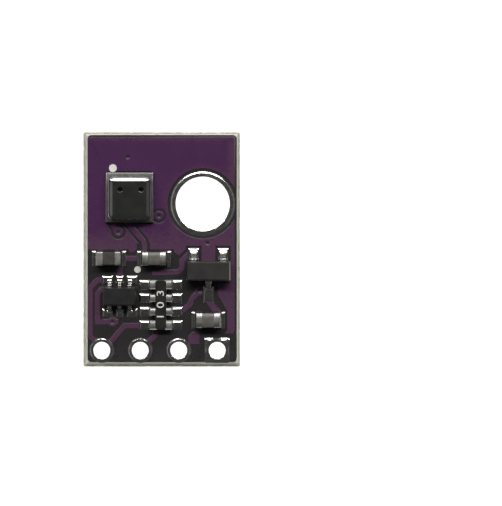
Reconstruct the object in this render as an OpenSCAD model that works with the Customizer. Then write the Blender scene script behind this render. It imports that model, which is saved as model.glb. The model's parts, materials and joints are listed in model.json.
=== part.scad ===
// Temperature and humidity sensor module: a small purple circuit board with a metal-lidded sensor,
// a voltage regulator, a transistor pair that shifts signal levels, a resistor network and three
// chip capacitors. Every length is in millimetres.
// X runs across the board, Y along it towards the sensor's end, Z up from the surface that it rests on.
// The origin is below the board's centre. Places written x are measured from that centre, and places along
// Y are shares of the board's length from it, so that the parts spread out with the board.

/* [Board] */
// Width of the board across X, over the broken edges
board_w = 10.4; // [10.2:0.1:13]
// Length of the board along Y, over the broken edges
board_h = 15.54; // [15.3:0.1:18]
// Thickness of the glass-fibre laminate
laminate_t = 1.5; // [0.8:0.1:3.2]
// Width of the bare rim left of the solder mask
rim_left = 0.32; // [0.15:0.01:0.35]
// Width of the bare rim right of the solder mask
rim_right = 0.23; // [0.15:0.01:0.3]
// Width of the bare rim beyond the solder mask at the sensor's end
rim_back = 0.23; // [0.15:0.01:0.4]
// Width of the bare rim beyond the solder mask at the pin end
rim_front = 0.32; // [0.15:0.01:0.32]
// Thickness of the web that was broken when the board was snapped out of its panel
web_t = 0.5; // [0.3:0.05:0.7]
// How far the broken web stands out of the scored groove
web_lip = 0.11; // [0.02:0.01:0.14]
// Corner radius of the solder mask
mask_corner_r = 0.26; // [0.1:0.02:0.5]

/* [Layers] */
// Thickness of the copper foil
copper_t = 0.035; // [0.018:0.001:0.07]
// Thickness of the solder mask
mask_t = 0.02; // [0.01:0.005:0.03]
// Gap between a pad and the edge of its opening in the solder mask
mask_gap = 0.05; // [0.03:0.01:0.08]
// How far the tinned rings stand proud of the solder mask
ring_proud = 0.01; // [0.01:0.005:0.05]
// How far the solder holds a part's terminals above the solder mask
solder_gap = 0.03; // [0.03:0.005:0.08]
// Thickness of the printed ink
ink_t = 0.02; // [0.01:0.005:0.03]
// Thickness of the plating in the holes
barrel_t = 0.03; // [0.02:0.005:0.05]

/* [Mounting hole] */
// Bore of the plated mounting hole
mount_hole_d = 3.55; // [2.2:0.05:3.6]
// Width of the tinned ring round the mounting hole
mount_ring_w = 0.34; // [0.15:0.01:0.36]
// Distance from the board's right edge to the hole's centre
mount_from_right = 2.48; // [2.45:0.01:2.7]
// Place of the hole's centre along Y, as a share of the board's length
mount_place = 0.1937; // [0.191:0.0001:0.28]
// Bare gap between the ring and the copper area round it
mount_gap = 0.23; // [0.1:0.01:0.28]

/* [Pin holes] */
// Distance between neighbouring pin holes
pin_pitch = 2.54; // [2.5:0.01:2.56]
// Bore of the plated pin holes
pin_hole_d = 1.1; // [0.8:0.05:1.2]
// Diameter of the round pads, and width of the square one
pin_pad_d = 1.56; // [1.4:0.02:1.56]
// Distance from the board's pin end to the row of holes
pin_row_from_front = 1.1; // [1.1:0.01:1.2]
// How far the row's middle lies to the right of the board's centre
pin_row_x = -0.135; // [-0.16:0.005:0.1]

/* [Copper] */
// Width of the tracks
track_w = 0.3; // [0.2:0.01:0.36]
// Width of the track that feeds the third capacitor
feed_track_w = 0.42; // [0.2:0.01:0.5]
// Bare gap between a track or pad and the copper area round it
track_gap = 0.2; // [0.1:0.01:0.24]
// Inset of the copper area from the left, right and sensor-end edges of the solder mask
area_inset = 0.16; // [0.08:0.01:0.2]
// Place of the large copper area's lower edge along Y
area_front_y = 0; // [-0.05:0.01:0.05]
// Width of the copper strip down the right edge
strip_w = 0.26; // [0.2:0.01:0.34]
// Bore of the small through-board connections
via_hole_d = 0.3; // [0.2:0.05:0.35]
// Diameter of their copper rings
via_ring_d = 0.6; // [0.5:0.02:0.7]

/* [Printed dots] */
// Diameter of the dot beside the sensor
sensor_dot_d = 0.52; // [0.4:0.02:0.6]
// Diameter of the dot beside the transistor pair
transistor_dot_d = 0.44; // [0.3:0.02:0.5]

/* [Sensor] */
// Place of the sensor across X
sensor_x = -2.11; // [-2.2:0.01:-2.05]
// Place of the sensor along Y, as a share of the board's length
sensor_place = 0.2201; // [0.2175:0.0001:0.2227]
// Width of the sensor's base
sensor_w = 3.15; // [3:0.05:3.2]
// Length of the sensor's base along Y
sensor_h = 3.3; // [3:0.05:3.35]
// Thickness of the sensor's base
sensor_base_t = 0.3; // [0.2:0.05:0.5]
// Width of the drawn metal lid
lid_w = 2.84; // [2.7:0.02:2.96]
// Length of the lid along Y
lid_h = 2.86; // [2.7:0.02:3]
// Height of the lid above the base
lid_t = 0.62; // [0.5:0.02:0.9]
// Wall of the lid
lid_wall = 0.09; // [0.06:0.01:0.12]
// Radius of the lid's upright corners
lid_corner_r = 0.36; // [0.33:0.01:0.5]
// Radius of the lid's top edges
lid_edge_r = 0.25; // [0.15:0.01:0.3]
// Diameter of the two vents
vent_d = 0.36; // [0.2:0.02:0.5]
// Distance between the vents
vent_spacing = 1.38; // [1:0.02:1.6]
// How far the middle of the two vents lies right of the lid's middle
vent_x = 0.08; // [0:0.01:0.15]
// Distance from the lid's far edge to the vents
vent_from_back = 0.86; // [0.7:0.02:1]
// Width of the humidity and temperature element
element_w = 0.9; // [0.7:0.05:1.1]
// Length of the element along Y
element_h = 0.8; // [0.6:0.05:0.85]
// Width of the readout chip
readout_w = 1.5; // [1.2:0.05:1.7]
// Length of the readout chip along Y
readout_h = 0.9; // [0.7:0.05:0.95]
// Thickness of both dies
die_t = 0.15; // [0.1:0.01:0.18]
// Diameter of the bond wires
wire_d = 0.03; // [0.02:0.005:0.04]

/* [Chip capacitors] */
// Place of the first two capacitors along Y, as a share of the board's length
capacitor_row_place = -0.0399; // [-0.0425:0.0001:-0.0386]
// Place of the first capacitor across X
capacitor_1_x = -3.46; // [-3.55:0.01:-3.4]
// Place of the second capacitor across X
capacitor_2_x = -0.48; // [-0.55:0.01:-0.4]
// Place of the third capacitor across X
capacitor_3_x = 3.09; // [3:0.01:3.12]
// Place of the third capacitor along Y, as a share of the board's length
capacitor_3_place = -0.3012; // [-0.3057:0.0001:-0.2992]
// Length of a capacitor
capacitor_l = 1.6; // [1.5:0.02:1.66]
// Width of the first and second capacitor
capacitor_w = 0.9; // [0.75:0.01:0.92]
// Width of the third capacitor
capacitor_3_w = 0.98; // [0.75:0.01:1]
// Height of a capacitor
capacitor_t = 0.8; // [0.5:0.05:0.9]
// Length of the metal caps on a capacitor's ends
capacitor_cap_l = 0.4; // [0.25:0.01:0.45]
// Thickness of the metal on capacitors and on the resistor network
plate_t = 0.02; // [0.01:0.005:0.03]
// Length over both pads of a capacitor
capacitor_pad_span = 2.16; // [2:0.02:2.2]
// Length of each of those pads
capacitor_pad_l = 0.64; // [0.5:0.02:0.7]
// How much wider than the capacitor its pads are
capacitor_pad_extra = 0.06; // [0:0.01:0.08]

/* [Resistor network] */
// Place of the network across X
network_x = -0.04; // [-0.06:0.01:0]
// How far the network stands from halfway between the capacitors' row and the pin holes, towards these
network_shift = 0.025; // [0:0.005:0.05]
// Width of the network over its terminals
network_w = 1.47; // [1.3:0.01:1.6]
// Width of the ceramic between the terminals
network_core_w = 0.72; // [0.6:0.01:0.85]
// Length of the network along Y
network_l = 3.3; // [3.25:0.01:3.36]
// Height of the network's ceramic
network_t = 0.5; // [0.35:0.01:0.6]
// Distance between neighbouring terminals
network_pitch = 0.89; // [0.86:0.01:0.9]
// Width of a terminal along Y
network_terminal_w = 0.5; // [0.4:0.01:0.54]
// Thickness of the printed resistors
film_t = 0.015; // [0.01:0.005:0.02]
// Thickness of the black glaze over them
glaze_t = 0.03; // [0.025:0.005:0.04]
// Width over both rows of the network's pads
network_pad_span = 2.76; // [2.6:0.01:2.8]
// Length of each of its pads across X
network_pad_l = 0.78; // [0.75:0.01:0.82]
// Width of each of its pads along Y
network_pad_w = 0.54; // [0.5:0.01:0.58]

/* [Transistor pair] */
// Place of the transistor pair across X
transistor_x = -2.755; // [-2.8:0.005:-2.72]
// Place of the transistor pair along Y, as a share of the board's length
transistor_place = -0.2008; // [-0.2027:0.0001:-0.1995]
// Width of its body
transistor_w = 2.2; // [1.9:0.05:2.25]
// Length of its body along Y
transistor_h = 1.25; // [1.1:0.05:1.3]
// Height of its body
transistor_t = 0.9; // [0.7:0.05:1.1]
// Distance between neighbouring leads
transistor_lead_pitch = 0.66; // [0.63:0.01:0.68]
// Width of a lead
transistor_lead_w = 0.25; // [0.18:0.01:0.28]
// Thickness of a lead
transistor_lead_t = 0.12; // [0.08:0.01:0.15]
// Distance between the tips of opposite leads
transistor_span = 2.12; // [2:0.02:2.3]
// Distance between neighbouring pads
transistor_pad_pitch = 0.81; // [0.78:0.01:0.82]
// Width of a middle pad
transistor_pad_w = 0.42; // [0.3:0.01:0.46]
// Width of an outer pad
transistor_outer_pad_w = 0.62; // [0.56:0.01:0.64]
// Length of a pad along Y
transistor_pad_l = 0.5; // [0.45:0.01:0.55]
// Distance over both rows of pads
transistor_pad_span = 2.68; // [2.6:0.02:2.72]

/* [Regulator] */
// Place of the regulator across X
regulator_x = 3.1; // [3:0.01:3.12]
// Place of the regulator along Y, as a share of the board's length
regulator_place = -0.103; // [-0.1049:0.0001:-0.1017]
// Width of its body
regulator_w = 2.94; // [2.7:0.02:3]
// Length of its body along Y
regulator_h = 1.34; // [1.2:0.02:1.46]
// Height of its body
regulator_t = 1.1; // [0.9:0.05:1.3]
// Distance between its two back leads
regulator_lead_pitch = 1.94; // [1.84:0.01:1.96]
// Width of a lead
regulator_lead_w = 0.4; // [0.3:0.01:0.45]
// Thickness of a lead
regulator_lead_t = 0.13; // [0.1:0.01:0.18]
// Distance from the tips of the back leads to the tip of the front one
regulator_span = 2.5; // [2.4:0.02:2.6]
// How far the regulator stands from the middle of its pads, towards the back ones
regulator_shift = 0.16; // [0.1:0.01:0.18]
// Width of a pad
regulator_pad_w = 0.64; // [0.56:0.01:0.68]
// Length of a back pad along Y
regulator_pad_l = 0.76; // [0.7:0.01:0.8]
// Length of the front pad along Y
regulator_front_pad_l = 1; // [0.96:0.01:1.04]
// Distance from the middle of the regulator's pads to the far edge of the back ones
regulator_pad_back = 1.64; // [1.6:0.01:1.68]
// Distance from the middle of the regulator's pads to the far edge of the front one
regulator_pad_front = 1.84; // [1.7:0.01:1.86]

/* [Moulded bodies] */
// How much narrower a moulded body's top and bottom are than its waist, on each side
mould_draft = 0.08; // [0.02:0.01:0.12]
// Height of the gap between a moulded body and the solder mask
mould_gap = 0.05; // [0.05:0.01:0.1]
// Length of a lead inside its moulded body
lead_grip = 0.18; // [0.1:0.01:0.25]
// How far a lead runs straight out of its body before it bends down
lead_shoulder = 0.1; // [0.06:0.01:0.12]
// Length of the flat foot of a lead
lead_foot = 0.16; // [0.1:0.01:0.18]

/* [Hidden] */
$fn = 48;

// Colours
laminate_colour = [0.72, 0.7, 0.6];
copper_colour = [0.76, 0.47, 0.3];
mask_colour = [0.28, 0.17, 0.29];
tin_colour = [0.78, 0.78, 0.75];
ink_colour = [0.9, 0.9, 0.86];
substrate_colour = [0.55, 0.54, 0.46];
lid_colour = [0.25, 0.25, 0.24];
silicon_colour = [0.36, 0.38, 0.45];
gold_colour = [0.85, 0.68, 0.3];
dark_ceramic_colour = [0.27, 0.25, 0.23];
tan_ceramic_colour = [0.45, 0.42, 0.36];
alumina_colour = [0.9, 0.89, 0.85];
film_colour = [0.2, 0.2, 0.22];
glaze_colour = [0.1, 0.1, 0.1];
mould_colour = [0.17, 0.16, 0.16];

// Overshoot of a cut past the face that it opens
cut = 0.1;

// Heights of the layers
skin_t = copper_t + mask_t;
base_z = skin_t + ring_proud;
top_z = base_z + laminate_t;
board_top_z = top_z + base_z;
seat_z = top_z + skin_t + solder_gap;

// Edges of the solder mask
mask_left = -board_w / 2 + rim_left;
mask_right = board_w / 2 - rim_right;
mask_back = board_h / 2 - rim_back;
mask_front = -board_h / 2 + rim_front;

// Places of the plated holes
pin_count = 4;
square_pin = 4;
mount_at = [board_w / 2 - mount_from_right, board_h * mount_place];
mount_ring_d = mount_hole_d + 2 * mount_ring_w;
pin_row_y = -board_h / 2 + pin_row_from_front;
pin_at = [for (i = [1 : pin_count]) [pin_row_x + (i - (pin_count + 1) / 2) * pin_pitch, pin_row_y]];

// Places of the parts along Y
sensor_y = board_h * sensor_place;
capacitor_row_y = board_h * capacitor_row_place;
capacitor_3_y = board_h * capacitor_3_place;
network_y = (capacitor_row_y + pin_row_y) / 2 - network_shift;
transistor_y = board_h * transistor_place;
regulator_y = board_h * regulator_place;

// Sensor
sensor_at = [sensor_x, sensor_y];
lid_at = sensor_at + [0.01, -0.06];
sensor_pad = [0.42, 0.5];
sensor_pad_x = [-1.05, -0.35, 0.35, 1.05];
sensor_pad_y = 1.3;
sensor_pads = [for (x = sensor_pad_x, side = [-1, 1]) sensor_at + [x, side * sensor_pad_y]];
lid_base_z = seat_z + sensor_base_t;
die_gap = 0.14;
element_at = lid_at + [0, (element_h + die_gap) / 2 + 0.16];
readout_at = lid_at + [0, -(readout_h + die_gap) / 2 + 0.16];
wire_spacing = 0.18;
wire_inset = 0.08;
landing_gap = 0.16;

// Capacitors: place, width and the colour of the ceramic
capacitors = [
    [[capacitor_1_x, capacitor_row_y], capacitor_w, dark_ceramic_colour],
    [[capacitor_2_x, capacitor_row_y], capacitor_w, tan_ceramic_colour],
    [[capacitor_3_x, capacitor_3_y], capacitor_3_w, tan_ceramic_colour]
];
capacitor_pad_x = (capacitor_pad_span - capacitor_pad_l) / 2;
capacitor_fillet_rise = 0.55 * capacitor_t;
// Least gap between the second capacitor's pads and the copper area
capacitor_pad_gap = 0.13;

// Resistor network
network_at = [network_x, network_y];
network_rows = [1.5, 0.5, -0.5, -1.5];
network_end_w = network_l - 3 * network_pitch;
network_pad_x = (network_pad_span - network_pad_l) / 2;

// Transistor pair and regulator
transistor_at = [transistor_x, transistor_y];
transistor_pad_y = (transistor_pad_span - transistor_pad_l) / 2;
transistor_columns = [-1, 0, 1];
regulator_at = [regulator_x, regulator_y];
regulator_body_y = regulator_y + regulator_shift;
regulator_back_pad_y = regulator_pad_back - regulator_pad_l / 2;
regulator_front_pad_y = regulator_pad_front - regulator_front_pad_l / 2;
regulator_pads = [
    regulator_at + [-regulator_lead_pitch / 2, regulator_back_pad_y],
    regulator_at + [regulator_lead_pitch / 2, regulator_back_pad_y],
    regulator_at + [0, -regulator_front_pad_y]
];
regulator_pad_sizes = [for (l = [regulator_pad_l, regulator_pad_l, regulator_front_pad_l]) [regulator_pad_w, l]];

// Through-board connections: two alone beside the sensor, two in the copper area, two at the ends of tracks
via_by_sensor = [sensor_x + 1.94, sensor_y - 1.23];
via_below_sensor = [sensor_x - 0.74, sensor_y - 2.3];
via_back = [sensor_x - 0.11, mask_back - 1.45];
via_front = [mount_at.x + 0.32, mount_at.y - 2.6];
via_by_transistor = transistor_at + [-0.48, -1.68];
via_by_regulator = regulator_at + [-0.57, -1.14];
lone_vias = [via_by_sensor, via_below_sensor];
track_vias = [via_by_transistor, via_by_regulator];
vias = concat(lone_vias, [via_back, via_front], track_vias);

// Printed dots: place, diameter and the height of the surface below
dots = [
    [sensor_at + [-1.1, sensor_h / 2 + sensor_dot_d / 2 + 0.02], sensor_dot_d, skin_t],
    [[capacitor_2_x - 1.1, capacitor_row_y - 0.72], transistor_dot_d, mask_t]
];

// Vector helpers for outlines
function turned(v) = [v.y, -v.x];
function unit(v) = v / norm(v);
function side_normal(a, b) = turned(unit(b - a));
function mitre(n1, n2) = 2 * (n1 + n2) / ((n1 + n2) * (n1 + n2));

// Outline of a closed shape, listed counter-clockwise, moved outwards by grow
function grown(points, grow) = [for (i = [0 : len(points) - 1])
    let (
        count = len(points),
        before = points[(i + count - 1) % count],
        after = points[(i + 1) % count]
    )
    points[i] + grow * mitre(side_normal(before, points[i]), side_normal(points[i], after))];

// Outline of a path of the given width, with mitred bends and square ends
function path_side(points, offset) = [for (i = [0 : len(points) - 1])
    let (
        last = len(points) - 1,
        here = max(i, 1),
        next = min(i + 1, last)
    )
    points[i] + offset * mitre(side_normal(points[here - 1], points[here]),
                               side_normal(points[next - 1], points[next]))];
function reversed(points) = [for (i = [len(points) - 1 : -1 : 0]) points[i]];
function path_outline(points, width) =
    concat(path_side(points, width / 2), reversed(path_side(points, -width / 2)));

// Outline of a rectangle from two corners, with rounded corners of steps each
function rounded_outline(low, high, r, steps = 6) = [
    for (corner = [[high.x - r, high.y - r, 0], [low.x + r, high.y - r, 90],
                   [low.x + r, low.y + r, 180], [high.x - r, low.y + r, 270]])
        for (i = [0 : steps])
            let (angle = corner.z + 90 * i / steps)
            [corner.x + r * cos(angle), corner.y + r * sin(angle)]
];

// Side view of a hollow fillet of solder that climbs a wall at x = 0
function fillet_outline(run, rise, steps = 6) = concat([[0, 0]],
    [for (i = [0 : steps]) [run * (1 - sin(90 * i / steps)), rise * (1 - cos(90 * i / steps))]]);

// Tracks on the part side, from pad to pad
function capacitor_pad_at(i, side) = capacitors[i][0] + [side * capacitor_pad_x, 0];
function capacitor_pad_size(i) = [capacitor_pad_l, capacitors[i][1] + capacitor_pad_extra];
function network_pad_at(row, side) =
    network_at + [side * network_pad_x, network_rows[row] * network_pitch];
function transistor_pad_at(column, side) =
    transistor_at + [column * transistor_pad_pitch, side * transistor_pad_y];
function transistor_pad_size(column) =
    [column == 0 ? transistor_pad_w : transistor_outer_pad_w, transistor_pad_l];

edge_track_x = mask_left + 0.17;
inner_track_x = edge_track_x + 0.48;
sensor_tracks = [
    [sensor_at + [-0.35, -sensor_pad_y], sensor_at + [-0.35, -1.42], sensor_at + [0.9, -2.88],
     [sensor_x + 1, sensor_y - 3.1], [sensor_x + 1, capacitor_row_y + 0.2]],
    [sensor_at + [-1.05, -sensor_pad_y], sensor_at + [-1.05, -1.9], via_below_sensor],
    [sensor_at + [1.05, -sensor_pad_y], via_by_sensor]
];
plain_tracks = [
    [capacitor_pad_at(0, 1), capacitor_pad_at(1, -1)],
    [regulator_pads[0] + [0, -0.05], regulator_at + [-1.31, 1.25], regulator_at + [-1.74, 0.86],
     regulator_at + [-1.74, 0.36], regulator_at + [-2, 0.08], regulator_at + [-3.72, 0.05]],
    [via_by_regulator, via_by_regulator + [-0.53, -0.56], via_by_regulator + [-0.63, -0.87],
     network_pad_at(2, 1) + [0.52, 0.13], network_pad_at(2, 1)],
    [transistor_pad_at(-1, 1), [edge_track_x + 0.46, transistor_y + transistor_pad_y - 0.02],
     [edge_track_x, transistor_y + transistor_pad_y - 0.48], [edge_track_x, pin_at[0].y + 0.95],
     pin_at[0] + [-0.3, 0.4]],
    [transistor_at + [-0.9, 0.5], transistor_at + [-1.24, 0.43], [inner_track_x, transistor_y + 0.17],
     [inner_track_x, via_by_transistor.y], via_by_transistor + [0.4, 0]],
    [pin_at[0] + [0.45, 0.4], [network_x - 2.4, network_y - 1.38], [network_x - 1.2, network_y - 1.38]],
    [pin_at[1] + [0.3, 0.3], [network_x - 0.46, network_y - 2.12], [network_x - 0.32, network_y - 1.7]],
    [capacitor_pad_at(0, 1) + [-0.05, -0.2], [transistor_x + 0.02, capacitor_row_y - 0.5],
     transistor_pad_at(0, 1)],
    [transistor_pad_at(1, -1), network_pad_at(2, -1)]
];
feed_track = [regulator_pads[2] + [0.02, 0], regulator_at + [0.02, 0.08 - regulator_pad_front],
              capacitor_pad_at(2, 1) + [-0.04, 0.3], capacitor_pad_at(2, 1)];

// Outline of the large copper area with its strip and patch down the right edge
area_left = mask_left + 0.05;
area_right = mask_right - area_inset;
area_back = mask_back - area_inset;
bridge_x = (regulator_lead_pitch - regulator_pad_w) / 2 - track_gap - 0.01;
patch_back = regulator_body_y - regulator_h / 2 - 0.16;
patch_front = capacitor_3_y - 0.88;
area_outline = [
    [area_left, area_front_y], [sensor_x - 0.1, area_front_y], [sensor_x + 0.03, area_front_y - 0.18],
    [sensor_x + 0.26, area_front_y - 0.18], [sensor_x + 0.48, area_front_y + 0.05],
    [sensor_x + 0.48, area_front_y + 0.4], [sensor_x + 1, area_front_y + 0.4], [sensor_x + 1, area_front_y],
    [regulator_x - 2.27, area_front_y], [regulator_x - 2.27, area_front_y - 0.18],
    [regulator_x - 1.93, area_front_y - 0.39], [regulator_x - 1.54, area_front_y],
    [regulator_x - bridge_x, area_front_y], [regulator_x - bridge_x, regulator_body_y + regulator_h / 2 - 0.1],
    [regulator_x + bridge_x, regulator_body_y + regulator_h / 2 - 0.1], [regulator_x + bridge_x, area_front_y],
    [area_right - strip_w, area_front_y], [area_right - strip_w, patch_back],
    [capacitor_3_x + 0.64, patch_back], [capacitor_3_x + 0.64, patch_back - 0.72],
    [area_right - strip_w - 0.2, capacitor_3_y + 0.62], [area_right - strip_w - 0.2, patch_front + 0.2],
    [area_right - strip_w - 0.38, patch_front],
    [area_right - 0.07, patch_front], [area_right, patch_front + 0.2], [area_right, area_back],
    [area_left, area_back]
];
pin_patch = [
    pin_at[2] + [0.64, 0.4], pin_at[2] + [1.36, 0.42], pin_at[2] + [1.34, 1.08],
    pin_at[2] + [0.92, 1.2], pin_at[2] + [0.64, 0.9]
];

// Hidden side: one copper area with two tracks through it
hidden_inset = 0.25;
hidden_tracks = [
    [via_by_sensor, via_by_sensor + [0, -1.2], [via_by_regulator.x, via_by_regulator.y + 1.5],
     via_by_regulator],
    [via_below_sensor, [via_by_transistor.x, via_below_sensor.y - 0.4], via_by_transistor]
];
ground_pin = 3;
spoke_w = 0.4;

// A rectangle about a place, moved outwards by grow
module rectangle_at(at, size, grow = 0) {
    translate(at) square([size.x + 2 * grow, size.y + 2 * grow], center = true);
}

module disc_at(at, d, grow = 0) {
    translate(at) circle(d = d + 2 * grow);
}

module path(points, width) {
    polygon(path_outline(points, width));
}

// Flat shapes of the part side
module part_pads(grow) {
    for (i = [0 : len(capacitors) - 1], side = [-1, 1]) {
        rectangle_at(capacitor_pad_at(i, side), capacitor_pad_size(i), grow);
    }
    for (row = [0 : 3], side = [-1, 1]) {
        rectangle_at(network_pad_at(row, side), [network_pad_l, network_pad_w], grow);
    }
    for (column = transistor_columns, side = [-1, 1]) {
        rectangle_at(transistor_pad_at(column, side), transistor_pad_size(column), grow);
    }
    for (i = [0 : 2]) {
        rectangle_at(regulator_pads[i], regulator_pad_sizes[i], grow);
    }
    for (at = sensor_pads) {
        rectangle_at(at, sensor_pad, grow);
    }
}

module large_area(grow) {
    difference() {
        polygon(grown(area_outline, grow));
        disc_at(mount_at, mount_ring_d + 2 * mount_gap, -grow);
        for (at = lone_vias) {
            disc_at(at, via_ring_d + 2 * track_gap, -grow);
        }
        for (points = sensor_tracks) {
            path(points, track_w + 2 * (track_gap - grow));
        }
        for (i = [0 : 2]) {
            rectangle_at(regulator_pads[i], regulator_pad_sizes[i], track_gap - grow);
        }
        for (side = [-1, 1]) {
            rectangle_at(capacitor_pad_at(1, side), capacitor_pad_size(1), capacitor_pad_gap - grow);
        }
        for (at = sensor_pads) {
            rectangle_at(at, sensor_pad, track_gap - grow);
        }
    }
}

module part_side_copper(grow) {
    large_area(grow);
    polygon(grown(pin_patch, grow));
    part_pads(grow);
    for (points = concat(sensor_tracks, plain_tracks)) {
        path(points, track_w + 2 * grow);
    }
    path(feed_track, feed_track_w + 2 * grow);
    for (at = concat(lone_vias, track_vias)) {
        disc_at(at, via_ring_d, grow);
    }
}

// Flat shapes of the hidden side
module hidden_side_copper(grow) {
    difference() {
        polygon(grown([[mask_left + hidden_inset, mask_front + hidden_inset],
                       [mask_right - hidden_inset, mask_front + hidden_inset],
                       [mask_right - hidden_inset, mask_back - hidden_inset],
                       [mask_left + hidden_inset, mask_back - hidden_inset]], grow));
        disc_at(mount_at, mount_ring_d + 2 * mount_gap, -grow);
        for (i = [1 : pin_count]) {
            pin_land(i, track_gap - grow);
        }
        for (at = concat(lone_vias, track_vias)) {
            disc_at(at, via_ring_d + 2 * track_gap, -grow);
        }
        for (points = hidden_tracks) {
            path(points, track_w + 2 * (track_gap - grow));
        }
    }
    for (turn = [[pin_pad_d + 4 * track_gap, spoke_w], [spoke_w, pin_pad_d + 4 * track_gap]]) {
        intersection() {
            rectangle_at(pin_at[ground_pin - 1], turn, grow);
            rectangle_at([0, 0], [board_w, 2 * -(mask_front + hidden_inset)], grow);
        }
    }
    for (points = hidden_tracks) {
        path(points, track_w + 2 * grow);
    }
    for (at = vias) {
        disc_at(at, via_ring_d, grow);
    }
}

module side_copper(side, grow) {
    if (side == "part") {
        part_side_copper(grow);
    } else {
        hidden_side_copper(grow);
    }
}

module pin_land(i, grow) {
    if (i == square_pin) {
        rectangle_at(pin_at[i - 1], [pin_pad_d, pin_pad_d], grow);
    } else {
        disc_at(pin_at[i - 1], pin_pad_d, grow);
    }
}

module tinned_lands(grow) {
    disc_at(mount_at, mount_ring_d, grow);
    for (i = [1 : pin_count]) {
        pin_land(i, grow);
    }
}

// A face of the laminate with Z running away from the board
module on_side(side) {
    if (side == "part") {
        translate([0, 0, top_z]) children();
    } else {
        translate([0, 0, base_z]) mirror([0, 0, 1]) children();
    }
}

module copper_foil(side) {
    color(copper_colour) on_side(side) linear_extrude(copper_t) difference() {
        side_copper(side, 0);
        tinned_lands(0);
        for (at = vias) {
            disc_at(at, via_hole_d, barrel_t);
        }
    }
}

// The mask lies on the laminate and climbs over the copper with the same thickness
module solder_mask(side) {
    color(mask_colour) on_side(side) difference() {
        union() {
            linear_extrude(mask_t) mask_outline();
            linear_extrude(skin_t) intersection() {
                mask_outline();
                side_copper(side, mask_t);
            }
        }
        translate([0, 0, -cut]) linear_extrude(copper_t + cut) side_copper(side, 0);
        translate([0, 0, -cut]) linear_extrude(skin_t + 2 * cut) {
            tinned_lands(mask_gap);
            if (side == "part") {
                part_pads(mask_gap);
            }
        }
    }
}

module mask_outline() {
    polygon(rounded_outline([mask_left, mask_front], [mask_right, mask_back], mask_corner_r));
}

// One direction of the scored and snapped edge: the outline that the board shows from that side
module scored_profile(low_edge, high_edge, low_rim, high_rim) {
    waist = web_t / 2;
    face = laminate_t / 2;
    polygon([
        [low_edge, -waist], [low_edge + web_lip, -waist], [low_edge + low_rim, -face],
        [high_edge - high_rim, -face], [high_edge - web_lip, -waist], [high_edge, -waist],
        [high_edge, waist], [high_edge - web_lip, waist], [high_edge - high_rim, face],
        [low_edge + low_rim, face], [low_edge + web_lip, waist], [low_edge, waist]
    ]);
}

module board_laminate() {
    color(laminate_colour) difference() {
        translate([0, 0, base_z + laminate_t / 2]) intersection() {
            rotate([90, 0, 0]) linear_extrude(board_h, center = true)
                scored_profile(-board_w / 2, board_w / 2, rim_left, rim_right);
            rotate([90, 0, 90]) linear_extrude(board_w, center = true)
                scored_profile(-board_h / 2, board_h / 2, rim_front, rim_back);
        }
        translate([0, 0, -cut]) linear_extrude(board_top_z + 2 * cut) {
            disc_at(mount_at, mount_hole_d, barrel_t);
            for (at = pin_at) {
                disc_at(at, pin_hole_d, barrel_t);
            }
            for (at = vias) {
                disc_at(at, via_hole_d, barrel_t);
            }
        }
    }
}

// A plated hole: a barrel with a tinned land on each face
module plated_hole(at, hole_d) {
    color(tin_colour) difference() {
        union() {
            linear_extrude(base_z) children();
            translate([0, 0, top_z]) linear_extrude(base_z) children();
            linear_extrude(board_top_z) disc_at(at, hole_d, barrel_t);
        }
        translate([0, 0, -cut]) linear_extrude(board_top_z + 2 * cut) disc_at(at, hole_d);
    }
}

module mounting_hole_plating() {
    plated_hole(mount_at, mount_hole_d) disc_at(mount_at, mount_ring_d);
}

module pin_hole_plating(i) {
    plated_hole(pin_at[i - 1], pin_hole_d) pin_land(i, 0);
}

module via_barrels() {
    color(copper_colour) translate([0, 0, base_z - copper_t]) linear_extrude(laminate_t + 2 * copper_t) {
        for (at = vias) {
            difference() {
                disc_at(at, via_hole_d, barrel_t);
                disc_at(at, via_hole_d);
            }
        }
    }
}

module marking_dots() {
    color(ink_colour) for (dot = dots) {
        translate([0, 0, top_z + dot[2]]) linear_extrude(ink_t) disc_at(dot[0], dot[1]);
    }
}

// A block with rounded upright corners and rounded top edges, standing on Z = 0
module edge_section(half, height, edge_r) {
    square([half, height - edge_r]);
    square([half - edge_r, height]);
    intersection() {
        translate([half - edge_r, height - edge_r]) circle(r = edge_r);
        square([half, height]);
    }
}

module rounded_block(w, h, t, corner_r, edge_r) {
    inner = [w / 2 - corner_r, h / 2 - corner_r];
    for (x = [-1, 1], y = [-1, 1]) {
        translate([x * inner.x, y * inner.y, 0]) rotate_extrude() edge_section(corner_r, t, edge_r);
    }
    for (side = [0, 1]) {
        mirror([side, 0, 0]) rotate([90, 0, 0])
            linear_extrude(2 * inner.y, center = true) edge_section(w / 2, t, edge_r);
        mirror([0, side, 0]) rotate([90, 0, 90])
            linear_extrude(2 * inner.x, center = true) edge_section(h / 2, t, edge_r);
    }
}

module sensor_base() {
    color(substrate_colour) translate([sensor_x, sensor_y, seat_z])
        linear_extrude(sensor_base_t) square([sensor_w, sensor_h], center = true);
}

module sensor_lid() {
    color(lid_colour) translate([lid_at.x, lid_at.y, lid_base_z]) difference() {
        rounded_block(lid_w, lid_h, lid_t, lid_corner_r, lid_edge_r);
        translate([0, 0, -cut]) rounded_block(lid_w - 2 * lid_wall, lid_h - 2 * lid_wall,
            lid_t - lid_wall + cut, lid_corner_r - lid_wall, lid_edge_r - lid_wall / 2);
        for (side = [-1, 1]) {
            translate([vent_x + side * vent_spacing / 2, lid_h / 2 - vent_from_back, lid_t / 2])
                cylinder(d = vent_d, h = lid_t);
        }
    }
}

module die(at, w, h) {
    color(silicon_colour) translate([at.x, at.y, lid_base_z])
        linear_extrude(die_t) square([w, h], center = true);
}

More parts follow.
